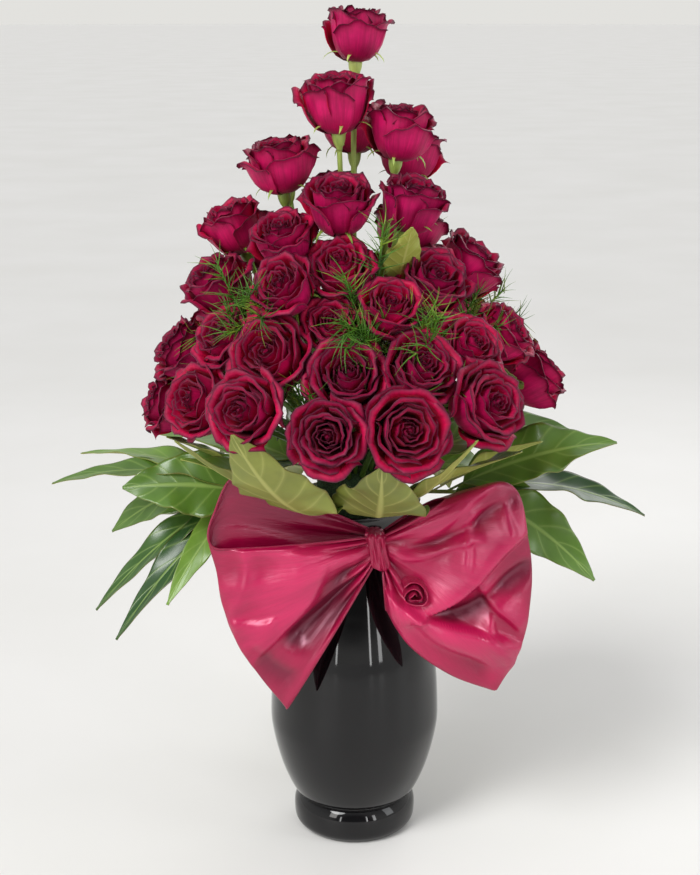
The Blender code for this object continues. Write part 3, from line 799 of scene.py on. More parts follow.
def green_parts(rose, gathered, rng):
    """One rose's stem, hip, five sepals and three thorns."""
    basis = np.array(Vector(rose.axis).to_track_quat("Z", "Y").to_matrix())
    tone = rng.uniform(0, 1)
    path = curve(rose.stem, STEM_POINTS)
    radii = STEM_RADIUS * (1 + 0.06 * np.sin(np.arange(STEM_POINTS) * 1.9))
    gathered.tube(path, radii, STEM_SIDES, tone=tone)
    gathered.rings(placed(turned(HIP_OUTLINE, HIP_SIDES), rose, basis), tone=tone)
    first = rng.uniform(0, ANY_TURN)
    hang = rng.uniform(10, 90)
    for k in range(SEPALS):
        outer, inner = sepal(rng, first + k * 2 * math.pi / SEPALS, hang)
        uv = grid_uv((SEPAL_COLUMNS + 1) / 2, SEPAL_ROWS)
        gathered.shell(placed(outer, rose, basis), placed(inner, rose, basis), uv, tone=tone)
    for _ in range(THORNS):
        at = int(rng.integers(6, STEM_POINTS - 4))
        ahead = path[at + 1] - path[at]
        side = np.cross(ahead, rng.normal(size=3))
        side /= np.linalg.norm(side)
        ahead /= np.linalg.norm(ahead)
        foot = path[at] + side * STEM_RADIUS * 0.6
        thorn = [foot, path[at] + side * 0.0036, path[at] + side * THORN_REACH - ahead * THORN_HOOK]
        gathered.tube(np.array(thorn), THORN_RADII, THORN_SIDES, tone=tone)


stems = Gathered()
for i, rose in enumerate(roses):
    green_parts(rose, stems, np.random.default_rng(STEM_SEED + i))
stems = stems.piece("rose_stems", green, "leaf")
print("stems:", len(stems.data.polygons), "faces")

# %% [markdown]
# ## Laurel leaves
# Long leathery leaves collar the vase: glossy and dark above, dull olive below, with a pale midrib and seven
# to nine pairs of side veins. Their margins wave. Each sprig is a short twig in the foam with a few leaves.
# A leaf is again a computed sheet: an arched midrib, a pointed oval outline, a shallow valley along the
# midrib, and ripples that grow towards the margin. Veins are both raised in the mesh and drawn in the
# finish, from the blade's own UV map.

# %% Leaf sprigs
# Each sprig has its twig's end as (azimuth, reach, height), then its leaves. A leaf has the share of the
# twig where it starts, its tip's azimuth, reach and height, how far its midrib arches up, its width, and its
# roll in degrees. All lengths are in millimetres.
SPRIGS = {
    "leaf_sprig_front": ((-14, 68, 290), (
        (1.0, -26, 187, 377, -22, 74, 4), (0.8, -44, 180, 362, -16, 52, 0),
        (0.6, -58, 150, 334, 4, 40, 0),
    )),
    "leaf_sprig_front_right": ((16, 68, 288), (
        (0.9, 6, 178, 357, -20, 74, 0), (1.0, 28, 178, 370, -8, 34, 0),
        (0.8, 46, 165, 350, 0, 44, 0),
    )),
    "leaf_sprig_right": ((74, 82, 291), (
        (0.9, 84, 203, 330, 10, 56, 35), (1.0, 90, 230, 264, 14, 42, 12),
        (0.8, 75, 191, 228, 18, 52, 45), (0.7, 57, 162, 350, 5, 44, 0),
    )),
    "leaf_sprig_left": ((-66, 82, 291), (
        (0.8, -79, 181, 298, 4, 58, -50), (1.0, -92, 240, 288, 14, 34, 0),
        (0.9, -101, 226, 303, 10, 32, 0), (0.6, -80, 146, 336, 5, 36, 20),
    )),
    "leaf_sprig_left_low": ((-96, 76, 289), (
        (0.8, -80, 205, 198, 18, 32, -15), (0.7, -70, 194, 186, 22, 36, -25),
        (0.9, -62, 160, 218, 16, 30, -30), (1.0, -99, 200, 240, 14, 46, -35),
    )),
    "leaf_sprig_back_left": ((-145, 80, 289), (
        (1.0, -146, 216, 262, 14, 50, 5), (0.8, -124, 205, 300, 12, 54, -15),
        (0.7, -168, 196, 300, 12, 50, 15), (0.9, -158, 190, 224, 18, 44, 10),
        (0.75, -122, 190, 236, 16, 42, -10),
    )),
    "leaf_sprig_back_right": ((142, 80, 289), (
        (1.0, 142, 218, 272, 14, 50, -5), (0.8, 118, 206, 308, 12, 54, 15),
        (0.7, 166, 200, 310, 12, 50, -15), (0.9, 154, 196, 232, 18, 46, -10),
        (0.75, 120, 196, 234, 16, 44, 10),
    )),
}
TWIG_START = (20.7, 286.5)  # reach and height where a twig leaves the foam, in millimetres
TWIG_RADIUS = 0.0016
SPRIG_SEED = 900
BLADE_ACROSS = np.linspace(-1, 1, 19)
BLADE_ALONG = np.linspace(0, 1, 61)
BLADE_UV = grid_uv((BLADE_ACROSS + 1) / 2, BLADE_ALONG)
BLADE_THICKNESS = 0.0006
VEIN_RELIEF = 0.0005
VEIN_PAIRS = 8.0
VEIN_SWEEP = 0.16  # how far along the blade a side vein runs before it reaches the margin


def vein_height(u, v):
    """1 on the midrib and the side veins, and 0 between them."""
    rib = np.exp(-((u / 0.045) ** 2))
    phase = (v - np.abs(u) * VEIN_SWEEP) * VEIN_PAIRS
    off = np.abs(phase - np.round(phase))
    side = np.exp(-((off / 0.09) ** 2)) * (1 - np.abs(u)) ** 0.5
    return np.maximum(rib, 0.55 * side)


def blade(rng, base, tip, rise, width, roll):
    """The middle surface of a leaf: rows along the midrib, columns across it."""
    hold = (base + tip) / 2 + np.array([0, 0, 2 * rise])
    v = BLADE_ALONG[:, None]
    rib = (1 - v) ** 2 * base + 2 * (1 - v) * v * hold + v**2 * tip
    ahead = np.gradient(rib, axis=0)
    ahead /= np.linalg.norm(ahead, axis=1, keepdims=True)
    side = np.cross(ahead, [0, 0, 1.0])
    side /= np.linalg.norm(side, axis=1, keepdims=True)
    twist = -math.radians(roll) + math.radians(rng.uniform(-14, 14)) * v
    up = np.cross(side, ahead)
    side, up = side * np.cos(twist) + up * np.sin(twist), up * np.cos(twist) - side * np.sin(twist)
    # A stalk for the first tenth, then an oval that is widest before its middle and ends in a point.
    body = np.clip((BLADE_ALONG - 0.10) / 0.90, 0, 1)
    spread = np.sin(math.pi * body**0.82) ** 0.78 * (1 - 0.25 * body)
    half = np.maximum(width / 2 * spread, 0.0011)[:, None]
    u = BLADE_ACROSS[None, :]
    wave = rng.uniform(0, ANY_TURN, 4)
    hand = np.sign(u)
    ripple = 0.055 * np.sin(17 * v + wave[0] + 1.2 * hand) + 0.04 * np.sin(31 * v + wave[1] * hand)
    valley = 0.20 * np.abs(u) ** 1.5
    lift = half * (valley + ripple * np.abs(u) ** 2 * 1.6 + 0.10 * np.sin(2.5 * v * 3 + wave[2]) * u)
    lift = lift + 0.05 * width * np.sin(math.pi * v) * math.sin(wave[3])
    notch = 1 + 0.03 * np.sin(46 * v + wave[1]) * np.abs(u) ** 4
    sideways = side[:, None, :] * (u * half * notch)[..., None]
    return rib[:, None, :] + sideways + up[:, None, :] * lift[..., None], up


def leaf(gathered, rng, base, tip, rise, width, roll, tone):
    """One leaf, closed, with its upper face marked 0 and its lower face marked 1."""
    middle, up = blade(rng, base, tip, rise, width, roll)
    first, second = thickened(middle, BLADE_THICKNESS)
    veins = vein_height(BLADE_ACROSS[None, :], BLADE_ALONG[:, None])[:, :, None]
    relief = veins * VEIN_RELIEF * up[:, None, :]
    # The veins stand proud of the lower face, whichever of the two that is.
    if np.sum((first[30, 9] - middle[30, 9]) * up[30]) > 0:
        second, under = second - relief, [0.0, 1.0]
    else:
        first, under = first - relief, [1.0, 0.0]
    gathered.shell(first, second, BLADE_UV, tone=tone, under=np.repeat(under, middle[..., 0].size))


print(sum(len(leaves) for _, leaves in SPRIGS.values()), "laurel leaves on", len(SPRIGS), "sprigs")


# %% Leaf finish
def leaf_green():
    """Glossy green above and dull olive below, with pale veins drawn from the blade's UV map."""
    material, tree, shader = finish(
        "laurel_green", Specular_IOR_Level=0.5, Coat_Weight=0.12, Coat_Roughness=0.2
    )
    uv = add(tree, "UVMap", uv_map="surface").outputs["UV"]
    parts = add(tree, "SeparateXYZ", {"Vector": uv})
    off_rib = maths(tree, "ABSOLUTE", maths(tree, "MULTIPLY_ADD", parts.outputs["X"], 2.0, -1.0))
    swept = maths(tree, "SUBTRACT", parts.outputs["Y"], maths(tree, "MULTIPLY", off_rib, VEIN_SWEEP))
    near = maths(tree, "PINGPONG", maths(tree, "MULTIPLY", swept, VEIN_PAIRS), 0.5)
    side = ramp(tree, near, ((0.0, WHITE), (0.06, grey(0.35)), (0.16, BLACK)))
    rib = ramp(tree, off_rib, ((0.03, WHITE), (0.10, BLACK)))
    veins = mixed(tree, "LIGHTEN", 1.0, rib, mixed(tree, "MULTIPLY", 1.0, side, grey(0.6)))
    place = object_place(tree)
    cloud = noise(tree, place, 38.0, 4.0)
    tone = mark(tree, "tone")
    above = mixed(tree, "MIX", tone, rgb(34, 74, 22), rgb(118, 156, 62))
    below = mixed(tree, "MIX", tone, rgb(104, 112, 40), rgb(156, 162, 72))
    body = mixed(tree, "MIX", mark(tree, "under"), above, below)
    body = pattern_and_painted_shade(tree, 0.7, body, cloud, (0.25, (0.62, 0.66, 0.55, 1)), (0.75, (1.2, 1.18, 1.1, 1)))
    pale = mixed(tree, "MIX", mark(tree, "under"), rgb(150, 178, 92), rgb(190, 190, 110))
    share = maths(tree, "MULTIPLY", veins, 0.55)
    final = mixed(tree, "MIX", share, body, pale)
    # Dry brown flecks along the margin.
    margin = ramp(tree, off_rib, ((0.93, BLACK), (1.0, grey(0.55))))
    dry = maths(tree, "MULTIPLY", margin, noise(tree, place, 120.0, 2.0))
    final = mixed(tree, "MIX", dry, final, rgb(120, 88, 40))
    tree.links.new(final, shader.inputs["Base Color"])
    gloss = maths(tree, "MULTIPLY_ADD", mark(tree, "under"), 0.28, 0.30)
    tree.links.new(gloss, shader.inputs["Roughness"])
    bump(tree, shader, maths(tree, "ADD", veins, maths(tree, "MULTIPLY", cloud, 0.6)), 0.35, 0.0006)
    return material


laurel = leaf_green()
print("leaf finish has", len(laurel.node_tree.nodes), "nodes")

# %% Grow the leaf sprigs
MILLIMETRE = 0.001

for s, (name, (twig, leaves)) in enumerate(SPRIGS.items()):
    rng = np.random.default_rng(SPRIG_SEED + s)
    gathered = Gathered()
    start = around(twig[0], *TWIG_START)
    end = around(*twig)
    path = np.linspace(start, end, 8)
    gathered.tube(path, TWIG_RADIUS, 8, tone=0.3, under=0.5)
    for share, azimuth, reach, height, rise, width, roll in leaves:
        base = path[0] + (path[-1] - path[0]) * share * 0.97
        tone = float(np.clip(rng.normal(0.46, 0.34), 0, 1))
        tip = around(azimuth, reach, height)
        leaf(gathered, rng, base, tip, rise * MILLIMETRE, width * MILLIMETRE * 1.04, roll, tone)
    gathered.piece(name.replace("leaf_sprig", "laurel"), laurel, "leaf", [name])
print("sprigs grown")

# %% [markdown]
# ## Fern needles
# Asparagus fern fills the gaps between the blooms: thin arching stems set with soft green needles. Hundreds
# of needles along a path are a job for Geometry Nodes: resample the stem, put one tapered needle on each
# point, turn it at random about the stem, and make it real. The tree takes its sizes as named inputs.


# %% Fern node tree
NEEDLE_SIZES = (("Spacing", 0.0013), ("Needle length", 0.021), ("Needle radius", 0.0006),
                ("Stem radius", 0.0008))
NEEDLE_TIP = 0.00008
NEEDLE_DROOP = 12.0  # how fast a needle bends away from its own axis, per metre


def fern_tree(material):
    """The tree that sets needles on stems, and the identifier of its seed."""
    tree = bpy.data.node_groups.new("fern_needles", "GeometryNodeTree")
    sides = tree.interface
    sides.new_socket("Geometry", in_out="INPUT", socket_type="NodeSocketGeometry")
    for name, value in NEEDLE_SIZES:
        sides.new_socket(name, in_out="INPUT", socket_type="NodeSocketFloat").default_value = value
    seed = sides.new_socket("Seed", in_out="INPUT", socket_type="NodeSocketInt")
    sides.new_socket("Geometry", in_out="OUTPUT", socket_type="NodeSocketGeometry")

    def shape(kind, **inputs):
        """A geometry node. Input names are given with underscores for spaces."""
        spaced = {key.replace("_", " "): value for key, value in inputs.items()}
        return add(tree, kind, spaced, "GeometryNode")

    def chance(low, high):
        """A random number for each needle. Sockets 2 and 3 are the node's smallest and largest number."""
        inputs = {"Seed": given["Seed"], 2: low, 3: high}
        return add(tree, "RandomValue", inputs, "FunctionNode", data_type="FLOAT").outputs[1]

    def turned_by(rotation, turn):
        """A rotation with a turn added about its own axes."""
        inputs = {"Rotation": rotation, "Rotate By": turn}
        return add(tree, "RotateRotation", inputs, "FunctionNode", rotation_space="LOCAL").outputs["Rotation"]

    given = add(tree, "GroupInput", family="Node").outputs
    stem = shape("MeshToCurve", Mesh=given["Geometry"]).outputs["Curve"]
    spacing = {"Curve": stem, "Length": given["Spacing"]}
    spots = add(tree, "CurveToPoints", spacing, "GeometryNode", mode="LENGTH").outputs
    # One needle: a thin cone that bends more and more towards its tip.
    cone = shape("MeshCone", Vertices=4, Side_Segments=3, Radius_Top=NEEDLE_TIP,
                 Radius_Bottom=given["Needle radius"], Depth=given["Needle length"])
    along = add(tree, "SeparateXYZ", {"Vector": shape("InputPosition").outputs["Position"]}).outputs["Z"]
    droop = maths(tree, "MULTIPLY", maths(tree, "POWER", along, 2.0), NEEDLE_DROOP)
    shift = add(tree, "CombineXYZ", {"X": droop}).outputs["Vector"]
    curved = shape("SetPosition", Geometry=cone.outputs["Mesh"], Offset=shift).outputs["Geometry"]
    # Each one is turned at random about the stem, and leans out from it.
    whole_turn = {"Seed": given["Seed"], "Max": (0.0, 0.0, 2 * math.pi), "Min": (0.0, 0.0, 0.0)}
    spin = add(tree, "RandomValue", whole_turn, "FunctionNode", data_type="FLOAT_VECTOR").outputs["Value"]
    leaning = add(tree, "CombineXYZ", {"X": chance(0.45, 1.05)}).outputs["Vector"]
    tilted = turned_by(turned_by(spots["Rotation"], spin), leaning)
    needles = shape("InstanceOnPoints", Points=spots["Points"], Instance=curved, Rotation=tilted,
                    Scale=chance(0.6, 1.15))
    profile = shape("CurvePrimitiveCircle", Resolution=5, Radius=given["Stem radius"])
    body = shape("CurveToMesh", Curve=stem, Profile_Curve=profile.outputs["Curve"], Fill_Caps=True)
    joined = shape("JoinGeometry")
    for part in (needles.outputs["Instances"], body.outputs["Mesh"]):
        tree.links.new(part, joined.inputs["Geometry"])
    real = shape("RealizeInstances", Geometry=joined.outputs["Geometry"]).outputs["Geometry"]
    painted = shape("SetMaterial", Geometry=real, Material=material).outputs["Geometry"]
    add(tree, "GroupOutput", {"Geometry": painted}, "Node")
    return tree, seed.identifier


def fern_green():
    """Soft green in patches, some of them gone yellow or rusty."""
    material, tree, shader = finish("fern_green", Roughness=0.5)
    place = object_place(tree)
    patch = noise(tree, place, 45.0, 2.0)
    body = ramp(tree, patch, ((0.30, rgb(40, 84, 22)), (0.54, rgb(84, 132, 34)), (0.66, rgb(140, 158, 48)),
                              (0.76, rgb(168, 96, 44))))
    tree.links.new(body, shader.inputs["Base Color"])
    return material


needle_tree, seed_input = fern_tree(fern_green())
print("fern tree has", len(needle_tree.nodes), "nodes")

# %% Grow the ferns
# Each tuft: azimuth, reach and height of its middle in millimetres, how many stems it has, their length, and
# which fern solid's piece it belongs to.
TUFTS = (
    (-38, 122, 452, 7, 46, "left"),
    (-52, 128, 436, 4, 40, "left"),
    (-72, 126, 420, 3, 38, "left"),
    (4, 118, 450, 9, 46, "right"),
    (12, 128, 430, 7, 44, "right"),
    (30, 136, 436, 5, 42, "right"),
    (22, 150, 404, 3, 34, "right"),
    (60, 122, 446, 3, 38, "right"),
    (-14, 148, 402, 3, 34, "left"),
    (-150, 110, 470, 6, 52, "left"),
    (150, 108, 462, 6, 52, "right"),
    (-112, 118, 440, 5, 48, "left"),
    (104, 124, 432, 5, 46, "right"),
    (180, 130, 410, 5, 50, "right"),
    (-135, 136, 394, 4, 46, "left"),
    (132, 136, 392, 4, 46, "right"),
)


def arching(rng, foot, ahead, length):
    """A stem that bends a little under its own weight."""
    side = np.cross(ahead, rng.normal(size=3))
    side /= np.linalg.norm(side)
    t = np.linspace(0, 1, 9)[:, None]
    sag = np.array([0, 0, -1.0]) * length * 0.10 * t**2
    return foot + ahead * length * t + side * length * 0.12 * t**2 + sag


def grow_fern(name, solid, tufts, seed):
    """One fern piece: bare stems as lines, then the needle tree, made real."""
    rng = np.random.default_rng(seed)
    low, high = (np.array(corner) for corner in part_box(solid))
    # A long stem rises from the foam to the top corner of the solid's box that is furthest out.
    furthest = [high[0] if high[0] > -low[0] else low[0], low[1] if -low[1] > high[1] else high[1], high[2]]
    paths = [curve([[0, 0, low[2] + 0.004], (low + high) / 2, furthest], 20)]
    for azimuth, reach, height, count, length in tufts:
        middle = around(azimuth, reach, height)
        for _ in range(count):
            ahead = toward(azimuth + rng.uniform(-55, 55), rng.uniform(15, 95))
            foot = middle - toward(azimuth, 55) * 0.035 + rng.normal(size=3) * 0.003
            paths.append(arching(rng, foot, ahead, length * MILLIMETRE * rng.uniform(0.75, 1.15)))
    bm = bmesh.new()
    for path in paths:
        verts = [bm.verts.new(point) for point in path]
        for a, b in zip(verts, verts[1:]):
            bm.edges.new((a, b))
    mesh = bpy.data.meshes.new(name)
    bm.to_mesh(mesh)
    bm.free()
    lines = bpy.data.objects.new(name + "_lines", mesh)
    bpy.context.scene.collection.objects.link(lines)
    grown = lines.modifiers.new("needles", "NODES")
    grown.node_group = needle_tree
    grown[seed_input] = seed
    ready = lines.evaluated_get(bpy.context.evaluated_depsgraph_get())
    plain = bpy.data.meshes.new_from_object(ready)
    plain.name = name
    made = bpy.data.objects.new(name, plain)
    bpy.context.scene.collection.objects.link(made)
    bpy.data.objects.remove(lines)
    plain.shade_smooth()
    return settle(made, [solid])


for side, seed in (("left", 21), ("right", 22)):
    chosen = [tuft[:5] for tuft in TUFTS if tuft[5] == side]
    made = grow_fern(f"fern_{side}", f"fern_sprig_{side}", chosen, seed)
    print(made.name, len(made.data.polygons), "faces")

# %% [markdown]
# ## Small leaves among the blooms
# Florists leave a few leaflets on the rose stems, which close the gaps between blooms with dull green. They
# use the same blade as the laurel, shorter and rounder, with the same finish.

# %% Small leaves
LEAFLET_SEED = 77
LEAFLETS = 3  # below each bloom
LEAFLET_CEILING = 0.5  # blooms higher than this have none, in metres

rng = np.random.default_rng(LEAFLET_SEED)
small = Gathered()
for rose in roses:
    if rose.face[2] > LEAFLET_CEILING:
        continue
    for _ in range(LEAFLETS):
        at = rose.stem[4] + (rose.stem[5] - rose.stem[4]) * rng.uniform(-0.4, 0.6)
        out = toward(math.degrees(math.atan2(at[0], -at[1])) + rng.uniform(-70, 70), rng.uniform(40, 110))
        length = rng.uniform(0.030, 0.042)
        leaf(small, rng, at, at + out * length, 0.003, length * 0.55, rng.uniform(-50, 50),
             float(rng.uniform(0.0, 0.5)))
# One pale leaf stands between the upper blooms.
leaf(small, rng, np.array([0.030, -0.060, 0.452]), np.array([0.040, -0.094, 0.506]), 0.004, 0.030, 8, 1.0)
small = small.piece("rose_leaves", laurel, "leaf")
print("small leaves:", len(small.data.polygons), "faces")

# %% [markdown]
# ## Satin bow
# A wide satin ribbon is tied round the neck into a two-looped bow. Each loop is one length of cloth that
# leaves the knot, turns back at its outer end, and returns behind itself. Its outline is a smooth curve
# through a few points on its outer edge. Pleats run out from the knot where the cloth is gathered, and die
# away in the open part. The right loop was crushed on tying, so it has a diagonal fold and pockets.
# Simulated cloth would settle its own way, so here each fold is placed as a smooth ridge or valley.

# %% Satin finish
def satin_finish():
    """Glossy crimson cloth, with painted highlights on folds and painted shade in valleys, from the fold
    mark.
    """
    material, tree, shader = finish(
        "satin",
        Roughness=0.30,
        Specular_IOR_Level=1.0,
        Specular_Tint=(1.0, 0.56, 0.70, 1),
        Sheen_Weight=0.05,
        Sheen_Roughness=0.3,
        Sheen_Tint=(1.0, 0.5, 0.65, 1),
        Anisotropic=0.4,
    )
    uv = add(tree, "UVMap", uv_map="surface").outputs["UV"]
    weave = noise(tree, stretched(tree, uv, (240, 8, 1)), 1.0, 3.0)
    crease = noise(tree, stretched(tree, uv, (16, 3.4, 1)), 1.0, 5.0)
    fold = maths(tree, "MULTIPLY_ADD", mark(tree, "fold"), 0.5, 0.5)
    # Painted shade and highlight: valleys and the back sheet go deep crimson, fold crests pale towards pink.
    deep = ramp(tree, fold, ((0.0, rgb(88, 0, 32)), (0.36, rgb(144, 2, 54)), (0.5, rgb(164, 5, 64)),
                             (0.72, rgb(178, 12, 74)), (1.0, rgb(202, 40, 94))))
    # The crease noise that bumps the cloth also darkens its low parts and pales its high ones: painted shade
    # and light in the crinkles.
    body = pattern_and_painted_shade(tree, 1.0, deep, crease, (0.25, (0.80, 0.76, 0.80, 1)), (0.75, grey(1.1)))
    final = pattern_and_painted_shade(tree, 0.5, body, weave, (0.3, (0.86, 0.82, 0.84, 1)), (0.7, (1.08, 1.06, 1.06, 1)))
    tree.links.new(final, shader.inputs["Base Color"])
    bump(tree, shader, maths(tree, "ADD", crease, maths(tree, "MULTIPLY", weave, 0.10)), 0.6, 0.0020)
    return material


satin = satin_finish()
print("satin ready")

# %% Bow loops
knot_low, knot_high = (np.array(corner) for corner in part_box("bow_knot"))
KNOT = (knot_low + knot_high) / 2
LOOP_COLUMNS = 161  # across the ribbon, from its top edge to its bottom edge
LOOP_ROWS = 181  # along the ribbon, out and back
LOOP_DEPTH = 13.0  # how far the front and back sheets stand from the loop's middle, in millimetres
KNOT_SPREAD = 22.0  # height of the gathered ribbon at the knot, in millimetres
KNOT_EDGE = 3.0  # how far from the knot's middle a loop starts, in millimetres
CLOTH = 0.0007

# The outer edge of each loop from its top corner to its bottom tip, as (outwards, up) from the knot in
# millimetres.
LEFT_EDGE = ((110, 60), (114, 56), (121, 34), (127, 12), (121, -16), (117, -43), (106, -74), (90, -101),
             (70, -127))
RIGHT_EDGE = ((44, 40), (72, 50), (93, 54), (105, 42), (111, 12), (115, -14), (114, -43), (109, -74),
              (93, -108), (90, -112), (85, -111), (55, -99), (25, -76), (6, -46))


def ridge(x, z, start, end, above, below, height):
    """A fold along a line in the loop's own plane, in millimetres from the knot. It fades at both ends.

    above and below are its widths to the left and right of the way from start to end. A small one makes that
    side steep, as where cloth laps over itself."""
    start, end = np.array(start, float), np.array(end, float)
    span = end - start
    length = np.hypot(*span)
    ahead = span / length
    along = (x - start[0]) * ahead[0] + (z - start[1]) * ahead[1]
    off = (x - start[0]) * -ahead[1] + (z - start[1]) * ahead[0]
    off = off + 0.05 * length * np.sin(along / length * 5.0)
    width = np.where(off > 0, above, below)
    fade = smooth(along / (0.25 * length) + 0.5) * smooth((length - along) / (0.25 * length) + 0.5)
    return height * np.exp(-((off / width) ** 2)) * fade


# Folds: start, end, width above, width below and height. A negative height is a valley.
LEFT_FOLDS = (
    ((8, 1), (114, 10), 3, 14, 6.0),  # the roll along the front sheet's upper edge
    ((20, -12), (62, -74), 8, 12, -10.0),  # the hollow below the knot
    ((40, -8), (92, -92), 22, 4, 6.0),
    ((10, -14), (52, -110), 3, 6, 6.0),
    ((56, -12), (118, -36), 12, 18, 5.0),
    ((78, -52), (112, -58), 3, 12, 3.5),
    ((64, -100), (98, -78), 6, 12, -4.0),
    ((100, 4), (108, -60), 4, 8, 3.5),
)
RIGHT_FOLDS = (
    ((28, -50), (114, 14), 20, 2.6, 12.0),  # the diagonal fold
    ((46, -50), (116, -12), 5, 10, -7.0),
    ((10, 4), (86, 50), 10, 4, 5.0),
    ((16, 0), (104, 40), 4, 9, -5.0),
    ((12, -4), (74, 10), 7, 3, 6.0),
    ((72, 36), (60, -10), 4, 9, 5.0),  # an upright crease in the upper lobe
    ((94, 44), (98, 14), 3, 7, 3.5),
    ((6, -30), (104, -80), 2.6, 24, 12.0),  # the lobe that lies over the bottom
    ((24, -54), (82, -98), 5, 9, -5.0),
    ((76, -22), (106, -62), 12, 3, 6.0),  # the pocket near the lower corner
    ((84, -52), (104, -94), 3, 9, 6.0),
)
FOLD_RANGE = 5.5  # a fold this high gets the full painted highlight, marked 1, in millimetres
FOLD_GAIN = 1.15  # how many times higher the folds stand than their tables say
PLEAT_HEIGHT = 2.6  # in millimetres
PLEAT_REACH = 0.40  # share of the way out where the pleats have sunk to about a third
BACK_MARK = -0.55  # the back sheet lies in the front one's shade, so it is marked as a valley


def loop_grid(sign, edge, folds, dip):
    """The middle surface of a loop, and a mark from 1 on folds to -1 in valleys, for painted highlight and
    shade.

    Columns run across the ribbon from its top edge. Rows run out along the front, then in along the back.
    dip is how far down the outer edge the front sheet's top starts, so that the back sheet shows above it."""
    edge = curve(edge, 400)
    share = np.linspace(0, 1, LOOP_COLUMNS)[None, :]
    turn = np.linspace(0, math.pi, LOOP_ROWS)[:, None]
    front = (1 + np.cos(turn)) / 2
    fore = smooth((math.radians(128) - turn) / math.radians(55))
    lowered = share + dip * (1 - share) ** 2.5 * fore
    out = 1 - np.abs(np.cos(turn)) ** (2.2 + 2.4 * (1 - share) ** 2 * (1 - fore))
    spots = np.linspace(0, 1, len(edge))
    edge_x, edge_z = np.interp(lowered, spots, edge[:, 0]), np.interp(lowered, spots, edge[:, 1])
    start_z = (0.5 - share) * KNOT_SPREAD
    x = KNOT_EDGE + (edge_x - KNOT_EDGE) * out
    z = start_z + (edge_z - start_z) * out
    relief = sum(ridge(x, z, *fold) for fold in folds) * smooth(out * 2.2) * FOLD_GAIN
    # Uneven pleats run out from the knot and die away.
    pleats = np.cos(share * math.pi * 9 + 2.4 * np.sin(share * 7.0))
    gather = pleats * PLEAT_HEIGHT * np.exp(-((out / PLEAT_REACH) ** 2)) * smooth(out * 9)
    belly = 0.35 + 0.65 * np.sin(math.pi * np.minimum(1, out * 0.62 + 0.05))
    y = -np.cos(turn) * LOOP_DEPTH * belly - 9 * out
    rim = smooth((1 - np.abs(2 * share - 1)) * 14)
    y = y - (relief * rim * (0.15 + 0.85 * front) + gather * rim) - 1.8 * (1 - rim) * out * front
    # The mark for painted light: folds get painted highlight, valleys and the back sheet get painted shade.
    shaded = np.clip((relief + 1.2 * gather) / FOLD_RANGE, -1, 1) * rim * front + BACK_MARK * (1 - front)
    return np.stack([sign * x, y, z], -1) / 1000 + KNOT, shaded


def ribbon_piece(name, grid, replaced, hem=True, fold=0.0):
    """A sheet of satin from its middle surface, with a rolled hem along both edges if hem is set."""
    first, second = thickened(grid, CLOTH)
    rows, columns = grid.shape[:2]
    uv = grid_uv(np.linspace(0, 1, columns), np.linspace(0, 2, rows))
    gathered = Gathered()
    gathered.shell(first, second, uv, fold=np.tile(np.broadcast_to(fold, grid.shape[:2]).ravel(), 2))
    if hem:
        for column in (0, columns - 1):
            edge = grid[:, column]
            # The hems are marked for a little painted shade.
            gathered.tube(edge[2:-2:2], 0.0009, 6, fold=-0.2)
    return gathered.piece(name, satin, "satin", replaced)


def area_of(made):
    """Area of one face of the cloth."""
    return sum(polygon.area for polygon in made.data.polygons) / 2


for name, sign, edge, folds, dip in (
    ("left", -1, LEFT_EDGE, LEFT_FOLDS, 0.30),
    ("right", 1, RIGHT_EDGE, RIGHT_FOLDS, 0.02),
):
    grid, shaded = loop_grid(sign, edge, folds, dip)
    if sign < 0:
        grid, shaded = grid[:, ::-1], shaded[:, ::-1]
    made = ribbon_piece(f"satin_loop_{name}", grid, [f"bow_loop_{name}"], fold=shaded)
    print(made.name, "area", round(area_of(made), 4), "m2")

# %% [markdown]
# ## Knot and neck band
# The ribbon's middle is gathered into deep pleats round the knot, and a rolled end beside it looks like a
# small rosette. A knot is a barrel whose surface is pleated along its length, so its rings are pushed in and
# out. The band round the neck is the same cloth with a few soft level creases.

# %% Knot and neck band
KNOT_RINGS = 33
KNOT_SIDES = 96
half = (knot_high - knot_low) / 2
ROSETTE = (KNOT[0] + 0.027, KNOT[2] - 0.030)
ROSETTE_TURNS = 2.4
ROSETTE_ROWS, ROSETTE_COLUMNS = 110, 13
BAND_ROWS, BAND_COLUMNS = 145, 25
BAND_INSET = 0.0008  # keeps the creases within the band's solid


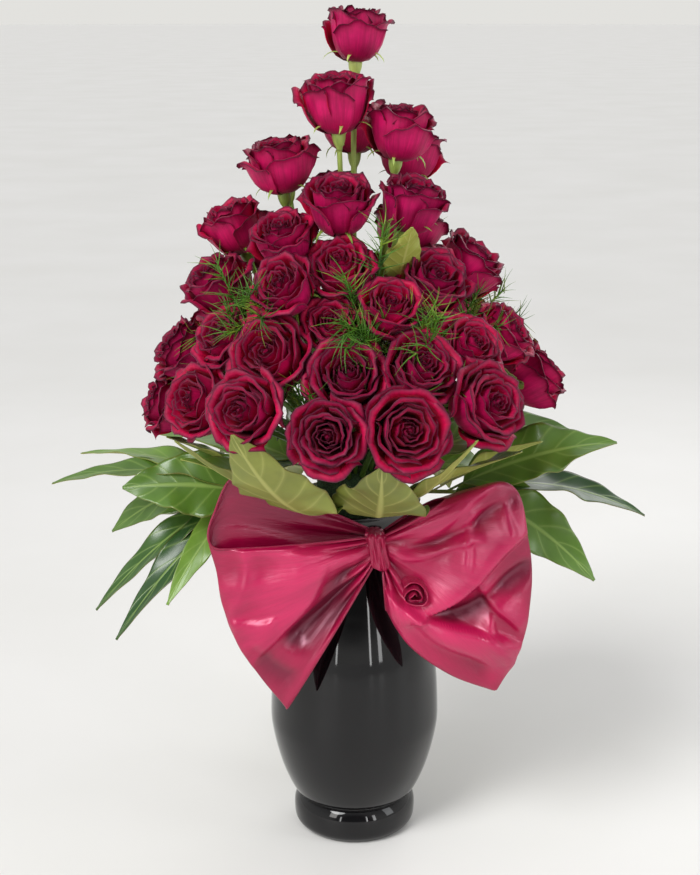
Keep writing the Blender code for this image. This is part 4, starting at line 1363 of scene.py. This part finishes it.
def pleated_knot(gathered):
    """A small barrel of gathered cloth, wider at its ends, where the loops leave it."""
    rows = np.linspace(-1, 1, KNOT_RINGS)
    turn = np.arange(KNOT_SIDES) * 2 * math.pi / KNOT_SIDES
    rings = []
    for row in rows:
        swell = 0.80 + 0.20 * abs(row) ** 2 - 0.35 * abs(row) ** 8
        pleat = 1 + 0.10 * np.cos(9 * turn + 1.6 * row) + 0.05 * np.cos(19 * turn - 2 * row)
        x = half[0] * 0.58 * swell * pleat * np.cos(turn)
        y = half[1] * 1.1 * swell * pleat * np.sin(turn) - 0.003
        rings.append(np.stack([x - 0.003 * row, y, np.full(KNOT_SIDES, half[2] * 0.72 * row)], -1) + KNOT)
    gathered.rings(np.array(rings))


def rosette(gathered):
    """The ribbon's end, rolled into a spiral that faces the front beside the knot."""
    around_roll = np.linspace(0, ROSETTE_TURNS * 2 * math.pi, ROSETTE_ROWS)[:, None]
    across = np.linspace(0, 1, ROSETTE_COLUMNS)[None, :]
    turns = around_roll / (2 * math.pi)
    radius = 0.0016 + 0.0038 * turns + 0.0022 * across**2 - 0.0006 * np.sin(3 * around_roll)
    depth = -0.026 + 0.013 * across + 0.0022 * np.cos(around_roll * 1.3) + 0.0010 * around_roll / 6.3
    grid = np.stack([ROSETTE[0] + radius * np.cos(around_roll), KNOT[1] + depth,
                     ROSETTE[1] + radius * np.sin(around_roll) * 0.92], -1)
    first, second = thickened(grid, CLOTH)
    uv = grid_uv(np.linspace(0, 1, ROSETTE_COLUMNS), np.linspace(0, 1, ROSETTE_ROWS))
    gathered.shell(first, second, uv)


def neck_band():
    """One turn of ribbon round the neck, with a few level creases."""
    low, high = (np.array(corner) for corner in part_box("ribbon_band"))
    radius = (high[0] - low[0]) / 2 - BAND_INSET
    turn = np.linspace(0, 2 * math.pi, BAND_ROWS)[:, None]
    across = np.linspace(0, 1, BAND_COLUMNS)[None, :]
    wave = 0.0007 * np.sin(across * 19 + 0.8 * np.sin(3 * turn))
    wave = wave + 0.0004 * np.sin(across * 33 + np.sin(5 * turn))
    grid = np.stack([(radius + wave) * np.cos(turn), (radius + wave) * np.sin(turn),
                     low[2] + (high[2] - low[2]) * across * np.ones_like(turn)], -1)
    return ribbon_piece("satin_neck_band", grid[:, ::-1], ["ribbon_band"], hem=False)


knot = Gathered()
pleated_knot(knot)
rosette(knot)
knot = knot.piece("bow_knot_folds", satin, "satin", ["bow_knot"])
band = neck_band()
print("knot and band made; band area", round(area_of(band), 4), "m2")
